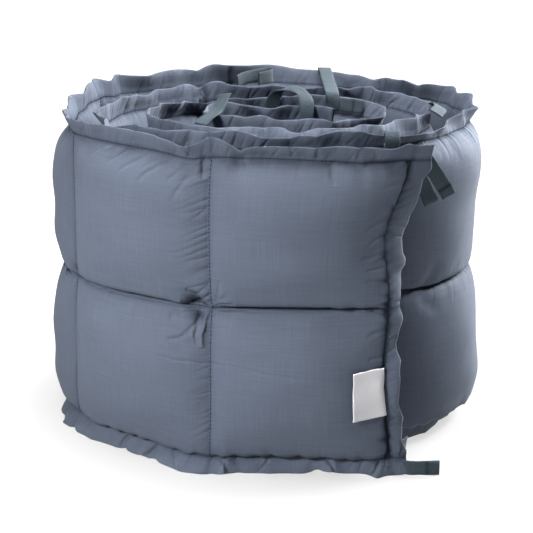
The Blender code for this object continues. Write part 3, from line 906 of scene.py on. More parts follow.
@dataclass
class ClothRelief:
    """Moves the smooth form's points to the cloth's folds, puckers and scalloped seams."""

    form: BumperForm
    seed: int = 41
    swell: float = 0.0009
    swell_length: float = 0.055
    scallop_pitch: float = 0.0190
    scallop_sag: float = 0.0030
    scallop_height: float = 0.004
    scallop_reach: float = 0.006
    scallop_power: float = 0.7
    scallop_level: float = 0.35
    scallop_wander: Wave = Wave(0.35, FULL_TURN / 60.0, 2.0)
    fold_span: float = 3.2
    fold_root: float = 0.30
    shoulder: float = 0.30
    shoulder_place: float = 2.1
    pucker_root: float = 0.003
    pucker_reach: float = 1.25
    pucker_share: float = 0.8
    pucker_spread: float = 0.45
    pucker_spread_length: float = 0.034
    hem_pucker: float = 1.1
    hem_pucker_reach: float = 0.012
    side_pucker_reach: float = 0.007
    wound_pucker: float = 1.1
    wound_reach: tuple[float, float] = (1.0, 1.3)
    end_pull_reach: float = 0.030
    lumps: int = 9
    inner_reach: tuple[float, float] = (0.9, 1.5)
    hem_wave: Wave = Wave(0.0008, 0.041, 5.0)
    hem_swing: Wave = Wave(0.0008, 0.083, 8.0)
    flange_wave: Wave = Wave(0.0034, 0.058, 3.0)
    flange_swing: Wave = Wave(0.0028, 0.046, 6.0)
    chance_top: tuple[FoldStretch, ...] = (
        FoldStretch(1.09, 1.57, 0.018, 0.036, 3.5),
        FoldStretch(1.62, 2.87, 0.013, 0.030, 5.0),
    )
    chance_bottom: FoldStretch = FoldStretch(0.38, 1.30, 0.018, 0.036, 2.5)

    def __post_init__(self) -> None:
        """Add the folds that come by chance to the listed ones."""
        rng = np.random.default_rng(self.seed)
        self.top_folds = list(TOP_FOLDS)
        for stretch in self.chance_top:
            self.top_folds += stretch.scatter(rng)
        self.bottom_folds = list(BOTTOM_FOLDS) + self.chance_bottom.scatter(rng)

    def calm(self, along: np.ndarray) -> np.ndarray:
        """Find where the top hem lies still, because a tape leaves it there.

        Args:
            along: Distances along the strip.

        Returns:
            0 at a tape and 1 away from there.
        """
        still = np.zeros_like(along)
        for place in CALM_PLACES:
            ratio = (along / MILLIMETRE - place.along) / place.reach
            still = np.maximum(still, np.exp(-ratio**4))
        return 1.0 - still

    def hem_folds(
        self, folds: list[HemFold], along: np.ndarray, beyond: np.ndarray
    ) -> tuple[np.ndarray, np.ndarray, np.ndarray]:
        """Work out how a hem's folds move the cloth.

        Args:
            folds: The folds.
            along: Distances along the strip.
            beyond: Distance from the hem's stitch line toward its edge, less than 0 on the pillows.

        Returns:
            The moves outward, along the strip and upward.
        """
        out, slide, lift = np.zeros_like(along), np.zeros_like(along), np.zeros_like(along)
        share = np.clip(beyond / self.form.sizes.hem_width, 0.0, 1.0)
        for fold in folds:
            place, reach = fold.along * MILLIMETRE, fold.reach * MILLIMETRE
            near = np.abs(along - place) < self.fold_span * reach
            ratio = (along[near] - place) / reach
            bell = np.exp(-(ratio**2))
            tail = np.exp(np.minimum(beyond[near], 0.0) / (fold.tail * MILLIMETRE))
            growth = (self.fold_root + (1.0 - self.fold_root) * share[near]) * tail
            out[near] += fold.out * MILLIMETRE * bell * growth
            slide[near] -= fold.pinch * reach * ratio * bell * share[near]
            lift[near] += fold.lift * MILLIMETRE * bell * growth
        return out, slide, lift

    @staticmethod
    def gathers_of(side: Face) -> dict[tuple[int, int, SeamSide], Gather]:
        """Return the gathers listed for one face, by pillow, row and seam."""
        return {(row.pillow, row.row, row.side): row.gather for row in SEAM_GATHERS if side is Face.OUTER}

    def gather(
        self, spec: Gather, away: np.ndarray, place: np.ndarray, width: float, seed: int
    ) -> np.ndarray:
        """Sink a seam's puckers into a pillow.

        Args:
            spec: Their sizes.
            away: Distance from the seam.
            place: Place along the seam.
            width: The seam's length.
            seed: Number that scatters them.

        Returns:
            The cloth's move outward, less than 0 in the puckers.
        """
        rng = np.random.default_rng(self.seed * 1000 + seed)
        sunk = np.zeros_like(away)
        middle = spec.spacing * MILLIMETRE * rng.uniform(*PUCKER_STARTS)
        while middle < width:
            length = spec.length * MILLIMETRE * rng.uniform(*PUCKER_LENGTHS)
            depth = spec.depth * MILLIMETRE * rng.uniform(*PUCKER_DEPTHS)
            slant = spec.slant + rng.uniform(*PUCKER_SLANTS)
            thin = spec.spacing * MILLIMETRE * rng.uniform(*PUCKER_WIDTHS)
            ratio = np.clip(away / length, 0.0, 1.0)
            off = place - middle - slant * away * (0.5 + ratio)
            bell = np.exp(-((off / (thin * (1.0 + 0.8 * ratio))) ** 2))
            fade = (1.0 - ratio) ** 1.3 * (0.35 + 0.65 * np.minimum(away / self.pucker_root, 1.0))
            sunk -= depth * bell * fade
            middle += spec.spacing * MILLIMETRE * rng.uniform(*PUCKER_STEPS)
        return sunk

    def gathers(self, along: np.ndarray, up: np.ndarray, side: Face) -> np.ndarray:
        """Sink all the seams' puckers into one face.

        Args:
            along: Distances along the strip.
            up: Heights up the cloth.
            side: The face.

        Returns:
            The cloth's move outward.
        """
        sizes = self.form.sizes
        special = self.gathers_of(side)
        number, across = self.form.pillow_place(along)
        level, risen = self.form.row_place(up)
        flat = self.form.on_hem(along, up)
        sunk = np.zeros_like(along)
        width, height = sizes.pillow_width, sizes.pillow_height
        for pillow in range(sizes.pillow_count):
            for row in range(sizes.row_count):
                inside = (number == pillow) & (level == row) & ~flat
                over, rise = across[inside], risen[inside]
                ways = {
                    SeamSide.LOW_ALONG: (over * width, rise * height, height),
                    SeamSide.HIGH_ALONG: ((1.0 - over) * width, rise * height, height),
                    SeamSide.LOW_UP: (rise * height, over * width, width),
                    SeamSide.HIGH_UP: ((1.0 - rise) * height, over * width, width),
                }
                for seam, (away, place, length) in ways.items():
                    spec = special.get((pillow, row, seam), USUAL_GATHERS[seam])
                    seed = pillow * 40 + row * 10 + seam.value + (5 if side is Face.INNER else 0)
                    sunk[inside] += self.gather(spec, away, place, length, seed)
        return sunk

    def pucker_masks(self, along: np.ndarray, up: np.ndarray, side: Face) -> tuple[np.ndarray, np.ndarray]:
        """Work out how deep the finest puckers lie, which the material's relief draws.

        Args:
            along: Distances along the strip.
            up: Heights up the cloth.
            side: The face.

        Returns:
            Their depth in millimetres beside the upright seams and beside the level ones.
        """
        sizes = self.form.sizes
        special = self.gathers_of(side)
        number, across = self.form.pillow_place(along)
        level, risen = self.form.row_place(up)
        masks = {SeamSide.LOW_ALONG: np.zeros_like(along), SeamSide.LOW_UP: np.zeros_like(along)}
        ways = {
            SeamSide.LOW_ALONG: (SeamSide.LOW_ALONG, across * sizes.pillow_width),
            SeamSide.HIGH_ALONG: (SeamSide.LOW_ALONG, (1.0 - across) * sizes.pillow_width),
            SeamSide.LOW_UP: (SeamSide.LOW_UP, risen * sizes.pillow_height),
            SeamSide.HIGH_UP: (SeamSide.LOW_UP, (1.0 - risen) * sizes.pillow_height),
        }
        for seam, (kind, away) in ways.items():
            depth, length = np.zeros_like(along), np.full_like(along, 0.01)
            for pillow in range(sizes.pillow_count):
                for row in range(sizes.row_count):
                    spec = special.get((pillow, row, seam), USUAL_GATHERS[seam])
                    inside = (number == pillow) & (level == row)
                    depth[inside] = spec.depth
                    length[inside] = spec.length * MILLIMETRE * self.pucker_reach
            place = up if kind is SeamSide.LOW_ALONG else along
            spread = Wave(self.pucker_spread, self.pucker_spread_length, seam.value + 1.0)
            fade = np.clip(1.0 - away / (length * (1.0 + spread.at(place))), 0.0, 1.0) ** 1.4
            masks[kind] = np.maximum(masks[kind], self.pucker_share * depth * fade)
        past_upright, past_level = self.form.past_seams(along, up)
        wound = 1.0 + self.wound_pucker * smooth_step(along, *self.wound_reach)
        hem = self.hem_pucker * wound * np.exp(-np.maximum(past_level, 0.0) / self.hem_pucker_reach)
        side_hem = self.hem_pucker * np.exp(-np.maximum(past_upright, 0.0) / self.side_pucker_reach)
        flat = self.form.on_hem(along, up)
        upright = np.where(flat, np.where(past_upright > 0, side_hem, 0.0), masks[SeamSide.LOW_ALONG])
        return upright, np.where(flat, np.where(past_upright > 0, 0.0, hem), masks[SeamSide.LOW_UP])

    def creases(self, along: np.ndarray, up: np.ndarray, side: Face) -> np.ndarray:
        """Sink the listed wide creases and pockets into one face.

        Args:
            along: Distances along the strip.
            up: Heights up the cloth.
            side: The face.

        Returns:
            The cloth's move outward.
        """
        moved = np.zeros_like(along)
        for crease in CREASES:
            if crease.face is not side or crease.width < FINE_CREASE:
                continue
            run_along = (crease.end_along - crease.along) * MILLIMETRE
            run_up = (crease.end_up - crease.up) * MILLIMETRE
            length = math.hypot(run_along, run_up)
            from_along = along - crease.along * MILLIMETRE
            from_up = up - crease.up * MILLIMETRE
            ratio = (from_along * run_along + from_up * run_up) / length**2
            arch = np.clip(4.0 * ratio * (1.0 - ratio), 0.0, 1.0)
            off = (from_up * run_along - from_along * run_up) / length - crease.bow * MILLIMETRE * arch
            width = crease.width * MILLIMETRE
            trough = np.exp(-((off / width) ** 2))
            shoulder = self.shoulder * np.exp(-(((np.abs(off) / width - self.shoulder_place)) ** 2))
            moved -= crease.depth * MILLIMETRE * np.sqrt(arch) * (trough - shoulder)
        for pocket in POCKETS:
            if pocket.face is side:
                moved -= pocket.depth * MILLIMETRE * spot(pocket, along, up)
        return moved

    def end_pull(self, along: np.ndarray, up: np.ndarray) -> np.ndarray:
        """Pull the free end's side seam back, as the filling does.

        Args:
            along: Distances along the strip.
            up: Heights up the cloth.

        Returns:
            How far the cloth moves along the strip.
        """
        hem = self.form.sizes.hem_width
        pulled = np.zeros_like(along)
        for height, reach, seam, edge in END_PULLS:
            share = np.exp(-(((up / MILLIMETRE - height) / reach) ** 2)) * MILLIMETRE
            inside = seam * np.exp(-np.maximum(along - hem, 0.0) / self.end_pull_reach)
            outside = edge + (seam - edge) * np.clip(along / hem, 0.0, 1.0)
            pulled += share * np.where(along > hem, inside, outside)
        return pulled

    @staticmethod
    def settled(along: np.ndarray, up: np.ndarray) -> tuple[np.ndarray, np.ndarray]:
        """Settle the cloth at the listed places.

        Args:
            along: Distances along the strip.
            up: Heights up the cloth.

        Returns:
            How far it has settled outward and upward.
        """
        out, lift = np.zeros_like(along), np.zeros_like(along)
        for place in SETTLED_PLACES:
            share = spot(place, along, up)
            out += place.out * MILLIMETRE * share
            lift += place.lift * MILLIMETRE * share
        return out, lift

    def unevenness(self, along: np.ndarray, up: np.ndarray, side: Face) -> np.ndarray:
        """Make the soft, broad lumps of the filling.

        Args:
            along: Distances along the strip.
            up: Heights up the cloth.
            side: The face.

        Returns:
            The cloth's move outward.
        """
        rng = np.random.default_rng(self.seed + (1 if side is Face.OUTER else 2))
        lumps = np.zeros_like(along)
        for _ in range(self.lumps):
            turn = rng.uniform(0, FULL_TURN)
            length = self.swell_length * rng.uniform(0.7, 1.8)
            phase = (along * math.cos(turn) + up * math.sin(turn)) * FULL_TURN / length
            lumps += np.sin(phase + rng.uniform(0, FULL_TURN)) / math.sqrt(self.lumps)
        return lumps * self.swell * np.clip(self.form.crown(along, up), 0.0, 1.0)

    def scallops(self, along: np.ndarray, up: np.ndarray) -> np.ndarray:
        """Sag the lower pillows in arcs over the bottom seam.

        Args:
            along: Distances along the strip.
            up: Heights up the cloth.

        Returns:
            How far they move upward, less than 0 where they sag.
        """
        away = up - self.form.sizes.hem_width
        turned = math.pi * (along / self.scallop_pitch + self.scallop_wander.at(along))
        arc = np.abs(np.sin(turned)) ** self.scallop_power - self.scallop_level
        share = np.exp(-(((np.maximum(away, 0.0) - self.scallop_height) / self.scallop_reach) ** 2))
        return np.where(away > 0, -self.scallop_sag * arc * share, 0.0)

    def move(self, points: np.ndarray, along: np.ndarray, up: np.ndarray, side: Face) -> np.ndarray:
        """Fold and pucker one face.

        Args:
            points: The face's smooth points.
            along: Their distances along the strip.
            up: Their heights up the cloth.
            side: The face.

        Returns:
            The moved points.
        """
        sizes = self.form.sizes
        hem = sizes.hem_width
        sagged_along, sagged_up = self.form.overhang(along, up)
        top, top_slide, top_lift = self.hem_folds(self.top_folds, along, up - sizes.cloth_height + hem)
        low, low_slide, low_lift = self.hem_folds(self.bottom_folds, along, hem - up)
        calm = self.calm(along)
        inner = smooth_step(along, *self.inner_reach)
        top_share = np.clip((up - sizes.cloth_height + 2 * hem) / (2 * hem), 0.0, 1.0) ** 2
        wave = self.hem_wave.at(along) * (1.0 + 2.0 * inner) * top_share
        swing = self.hem_swing.at(along) * (1.0 + 1.5 * inner) * top_share
        flange = np.clip((hem - along) / hem, 0.0, 1.0)
        flange = flange * np.clip(np.minimum(up, sizes.cloth_height - up) / 0.03, 0.0, 1.0)
        settled_out, settled_lift = self.settled(along, up)
        outward = self.gathers(along, up, side) + self.creases(along, up, side)
        outward = (outward + self.unevenness(along, up, side)) * side.value + settled_out
        outward += (top + wave) * calm + low + self.flange_wave.at(up) * flange
        slide = (top_slide + low_slide) * calm + sagged_along + self.end_pull(along, up)
        slide += self.flange_swing.at(up) * flange
        lift = (top_lift + swing) * calm + low_lift + sagged_up + self.scallops(along, up)
        lift -= 0.5 * np.clip(top, -0.006, 0.006) ** 2 / hem * calm
        lift += settled_lift * np.clip(up / 0.02, 0.0, 1.0)
        moved = self.form.shifted(points, along, (outward, slide, lift))
        moved[..., 2] = np.maximum(moved[..., 2], 0.0)
        return moved


# ---------------------------------------------------------------- meshes

def shell_faces(rows: int, columns: int) -> np.ndarray:
    """Number the corners of a closed shell of two grids, back to back.

    Args:
        rows: Rows of each grid.
        columns: Columns of each grid.

    Returns:
        Four corners for each face; the second grid's corners follow the first's.
    """
    number = np.arange(rows * columns).reshape(rows, columns)
    behind = number + rows * columns
    first = np.stack([number[:-1, :-1], number[1:, :-1], number[1:, 1:], number[:-1, 1:]], -1)
    second = np.stack([behind[:-1, :-1], behind[:-1, 1:], behind[1:, 1:], behind[1:, :-1]], -1)
    rim = [(0, column) for column in range(columns)]
    rim += [(row, columns - 1) for row in range(1, rows)]
    rim += [(rows - 1, column) for column in range(columns - 2, -1, -1)]
    rim += [(row, 0) for row in range(rows - 2, 0, -1)]
    edge = [
        (number[this], number[then], behind[then], behind[this])
        for this, then in zip(rim, rim[1:] + rim[:1])
    ]
    return np.concatenate([first.reshape(-1, 4), second.reshape(-1, 4), np.array(edge)])


def mesh_object(name: str, points: np.ndarray, faces: np.ndarray) -> bpy.types.Object:
    """Make a smooth mesh object at the origin.

    Args:
        name: The piece's name.
        points: A row of three numbers for each point.
        faces: Corner numbers, a row for each face.

    Returns:
        The new object, linked to the scene.
    """
    mesh = bpy.data.meshes.new(name)
    mesh.vertices.add(len(points))
    mesh.vertices.foreach_set("co", np.asarray(points, np.float32).ravel())
    mesh.loops.add(faces.size)
    mesh.loops.foreach_set("vertex_index", faces.astype(np.int32).ravel())
    mesh.polygons.add(len(faces))
    mesh.polygons.foreach_set("loop_start", np.arange(0, faces.size, faces.shape[1], dtype=np.int32))
    mesh.update(calc_edges=True)
    mesh.validate()
    mesh.shade_smooth()
    thing = bpy.data.objects.new(name, mesh)
    bpy.context.scene.collection.objects.link(thing)
    return thing


def shell_object(name: str, back: np.ndarray, front: np.ndarray) -> bpy.types.Object:
    """Make a closed sheet of two grids of points.

    Args:
        name: The piece's name.
        back: The grid of its back.
        front: The grid of its front.

    Returns:
        The new object.
    """
    points = np.concatenate([back.reshape(-1, 3), front.reshape(-1, 3)])
    return mesh_object(name, points, shell_faces(*back.shape[:2]))


def twice(values: np.ndarray) -> np.ndarray:
    """Return a grid's numbers for both faces of a shell."""
    return np.concatenate([values.ravel(), values.ravel()])


def set_cloth_uv(thing: bpy.types.Object, along: np.ndarray, up: np.ndarray) -> None:
    """Give a shell a UV map in metres of cloth.

    Args:
        thing: The shell, whose points are two equal grids.
        along: The first coordinate of every point.
        up: The second coordinate of every point.
    """
    mesh = thing.data
    corners = np.zeros(len(mesh.loops), np.int32)
    mesh.loops.foreach_get("vertex_index", corners)
    layer = mesh.uv_layers.new(name="cloth")
    values = np.stack([along[corners], up[corners]], -1)
    layer.data.foreach_set("uv", values.astype(np.float32).ravel())


def set_attribute(
    thing: bpy.types.Object, name: str, back: np.ndarray, front: np.ndarray | None = None
) -> None:
    """Store a number for each point of a shell, for the materials to read.

    Args:
        thing: The shell.
        name: The numbers' name.
        back: The back grid's numbers.
        front: The front grid's numbers, where they aren't the same.
    """
    layer = thing.data.attributes.new(name, "FLOAT", "POINT")
    values = twice(back) if front is None else np.concatenate([back.ravel(), front.ravel()])
    layer.data.foreach_set("value", values.astype(np.float32))


# ---------------------------------------------------------------- cloth simulation

@dataclass
class PillowCloth:
    """Swells the outer turn's pillows by a cloth simulation between their sewn seams.

    The cloth is simulated at a larger scale, where Blender's usual stiffness suits it. Each
    pillow starts a little slack, with spare cloth, and its seams and hems are held still.
    """

    form: BumperForm
    pillows: int = 8
    steps: tuple[int, int] = (24, 22)
    frames: int = 20
    scale: float = 10.0
    slack: float = 0.90
    spare_cloth: float = 1.06
    pressure: float = 9.0
    mass: float = 0.03
    bending: float = 0.03
    damping: float = 0.2
    start_roughness: float = 0.0003
    cap_out: float = 0.0035
    cap_in: float = 0.0100
    seed: int = 5

    def lines(self) -> tuple[np.ndarray, np.ndarray]:
        """Space the simulated grid.

        Returns:
            Its lines along the strip and up it.
        """
        sizes = self.form.sizes
        across = np.arange(self.pillows * self.steps[0] + 1) / self.steps[0]
        rise = np.arange(sizes.row_count * self.steps[1] + 1) / self.steps[1]
        along = np.concatenate([[0.0], sizes.hem_width + across * sizes.pillow_width])
        up = np.concatenate([[0.0], sizes.hem_width + rise * sizes.pillow_height, [sizes.cloth_height]])
        return along, up

    def add_cloth(self, thing: bpy.types.Object, held: np.ndarray) -> None:
        """Make a mesh a cloth.

        Args:
            thing: The mesh, whose second shape key is the cloth at rest.
            held: Which points don't move.
        """
        group = thing.vertex_groups.new(name="held")
        group.add([int(number) for number in np.flatnonzero(held)], 1.0, "REPLACE")
        modifier = thing.modifiers.new("pillow_cloth", "CLOTH")
        cloth = modifier.settings
        cloth.quality = 5
        cloth.mass = self.mass
        cloth.bending_stiffness = self.bending
        cloth.tension_damping = cloth.compression_damping = cloth.shear_damping = self.damping
        cloth.bending_damping = self.damping / 4
        cloth.air_damping = self.damping
        cloth.vertex_group_mass = group.name
        cloth.rest_shape_key = thing.data.shape_keys.key_blocks[1]
        cloth.use_pressure = True
        cloth.uniform_pressure_force = self.pressure
        cloth.effector_weights.gravity = 0.0
        modifier.collision_settings.use_collision = False
        modifier.point_cache.frame_start = 1
        modifier.point_cache.frame_end = self.frames

    def swell(self) -> tuple[np.ndarray, np.ndarray, np.ndarray]:
        """Run the simulation.

        Returns:
            The grid's lines along the strip and up it, and how far each of its points moved
            outward, along and up from the full form.
        """
        lines_along, lines_up = self.lines()
        along, up = np.meshgrid(lines_along, lines_up, indexing="ij")
        full = self.form.point(along, up, Face.OUTER)
        start = self.form.point(along, up, Face.OUTER, fill=self.slack)
        upright, level = self.form.seam_distance(along, up)
        held = (np.minimum(upright, level) < WITHIN * 1000) | self.form.on_hem(along, up)
        held[-1] = True
        rough = np.random.default_rng(self.seed).normal(size=start.shape) * self.start_roughness
        start = start + np.where(held[..., None], 0.0, rough)
        number = np.arange(along.size).reshape(along.shape)
        corners = (number[:-1, :-1], number[:-1, 1:], number[1:, 1:], number[1:, :-1])
        faces = np.stack(corners, -1).reshape(-1, 4)
        thing = mesh_object("pillow_cloth_start", start.reshape(-1, 3) * self.scale, faces)
        thing.shape_key_add(name="slack")
        rest = thing.shape_key_add(name="spare")
        spare = full.reshape(-1, 3) * self.scale * self.spare_cloth
        rest.data.foreach_set("co", spare.astype(np.float32).ravel())
        self.add_cloth(thing, held.ravel())
        scene = bpy.context.scene
        for frame_number in range(1, self.frames + 1):
            scene.frame_set(frame_number)
        swollen = thing.evaluated_get(bpy.context.evaluated_depsgraph_get()).data
        places = np.zeros(along.size * 3, np.float32)
        swollen.vertices.foreach_get("co", places)
        bpy.data.objects.remove(thing, do_unlink=True)
        scene.frame_set(1)
        moved = places.reshape(*along.shape, 3) / self.scale - full
        out_x, out_y = self.form.route.place(along)[2:]
        outward = moved[..., 0] * out_x + moved[..., 1] * out_y
        slide = moved[..., 0] * out_y - moved[..., 1] * out_x
        LOG.info("pillows swelled by %.1f mm at most", outward.max() / MILLIMETRE)
        cap = np.where(outward > 0, self.cap_out, self.cap_in)
        outward = cap * np.tanh(outward / cap)
        slide = np.clip(slide, -self.cap_out, self.cap_out)
        lift = np.clip(moved[..., 2], -self.cap_out, self.cap_out)
        return lines_along, lines_up, np.stack([outward, slide, lift], axis=-1)

    def add_to(self, points: np.ndarray, along: np.ndarray, up: np.ndarray) -> np.ndarray:
        """Swell a finer grid's points on the outer face.

        Args:
            points: The full form's points.
            along: The grid's lines along the strip.
            up: The grid's lines up it.

        Returns:
            The swollen points.
        """
        lines_along, lines_up, moves = self.swell()
        swollen = points.copy()
        count = int(np.sum(along <= lines_along[-1] + WITHIN))
        part = along[:count]
        fine_moves = tuple(
            through_points(lines_up, through_points(lines_along, moves[..., axis], part).T, up).T
            for axis in range(3)
        )
        swollen[:count] = self.form.shifted(points[:count], part[:, None], fine_moves)
        return swollen


# ---------------------------------------------------------------- shader groups

Socket = bpy.types.NodeSocket
Sockets = bpy.types.bpy_prop_collection
Colour = tuple[float, float, float]


def opaque(colour: Colour) -> tuple[float, float, float, float]:
    """Return a colour with full alpha."""
    return (*colour, 1.0)


class NodeTree:
    """A little help to lay out nodes."""

    def __init__(self, tree: bpy.types.NodeTree) -> None:
        """Keep the tree that the nodes go into."""
        self.tree = tree

    def add(
        self, kind: str, *terms: object, fed: dict[str, object] | None = None, **settings: object
    ) -> Sockets:
        """Add one node.

        Args:
            kind: Blender's name of the node's type.
            terms: What goes into its first sockets, in order: numbers, vectors or sockets.
            fed: What goes into its sockets by name.
            settings: Its properties by name.

        Returns:
            The node's outputs.
        """
        node = self.tree.nodes.new(kind)
        for name, value in settings.items():
            setattr(node, name, value)
        for slot, value in zip(node.inputs, terms):
            self.feed(value, slot)
        for label, value in (fed or {}).items():
            self.feed(value, node.inputs[label])
        return node.outputs

    def feed(self, value: object, slot: Socket) -> None:
        """Put a number, a vector or a colour into a socket, or link it.

        Args:
            value: What goes in.
            slot: Where it goes.
        """
        if isinstance(value, Socket):
            self.tree.links.new(value, slot)
        else:
            slot.default_value = value

    def math(self, operation: str, *terms: object) -> Socket:
        """Return the result of a Math node on numbers or sockets."""
        return self.add("ShaderNodeMath", *terms, operation=operation)[0]

    def vectors(self, operation: str, *terms: object) -> Sockets:
        """Return the results of a Vector Math node, Vector and Value."""
        return self.add("ShaderNodeVectorMath", *terms, operation=operation)

    def attribute(self, name: str) -> Socket:
        """Return the number that the mesh stores by a name."""
        return self.add("ShaderNodeAttribute", attribute_name=name)["Fac"]

    def group(self, inner: bpy.types.NodeTree, **fed: object) -> Sockets:
        """Return the outputs of a shader group that is fed by name."""
        return self.add("ShaderNodeGroup", fed=fed, node_tree=inner)

    def mix(self, share: object, first: object, second: object) -> Socket:
        """Blend two colours.

        Args:
            share: How much of the second colour, a number or a socket.
            first: A colour or a socket.
            second: A colour or a socket.

        Returns:
            The blended colour's socket.
        """
        node = self.tree.nodes.new("ShaderNodeMix")
        node.data_type = "RGBA"
        for number, value in ((0, share), (6, first), (7, second)):
            self.feed(value, node.inputs[number])
        return node.outputs[2]

    def noise(self, vector: Socket, scale: object, detail: float = 3.0, rough: float = 0.5) -> Sockets:
        """Add a Noise texture.

        Args:
            vector: Where it is read.
            scale: Its scale, a number or a socket.
            detail: Its octaves.
            rough: How strong the fine octaves are.

        Returns:
            Its outputs: its grey value and its colour.
        """
        fed = {"Vector": vector, "Scale": scale, "Detail": detail, "Roughness": rough}
        return self.add("ShaderNodeTexNoise", fed=fed)

    def bump(self, height: Socket, distance: float) -> Socket:
        """Return the normal of a relief whose height is in a unit of so many metres."""
        fed = {"Strength": 1.0, "Distance": distance, "Height": height}
        return self.add("ShaderNodeBump", fed=fed)["Normal"]


def new_group(
    name: str, inputs: dict[str, float], outputs: tuple[str, ...], vectors: tuple[str, ...] = ("Vector",)
) -> tuple[NodeTree, Sockets, Sockets]:
    """Start a shader group with vector inputs, number inputs and number outputs.

    Args:
        name: The group's name.
        inputs: The number inputs with their usual values.
        outputs: The names of the number outputs.
        vectors: The names of the vector inputs.

    Returns:
        The tree, the sockets that hold its inputs and those that take its outputs.
    """
    tree = bpy.data.node_groups.new(name, "ShaderNodeTree")
    for label in vectors:
        tree.interface.new_socket(label, in_out="INPUT", socket_type="NodeSocketVector")
    for label, value in inputs.items():
        socket = tree.interface.new_socket(label, in_out="INPUT", socket_type="NodeSocketFloat")
        socket.default_value = value
    for label in outputs:
        tree.interface.new_socket(label, in_out="OUTPUT", socket_type="NodeSocketFloat")
    given = tree.nodes.new("NodeGroupInput").outputs
    return NodeTree(tree), given, tree.nodes.new("NodeGroupOutput").inputs


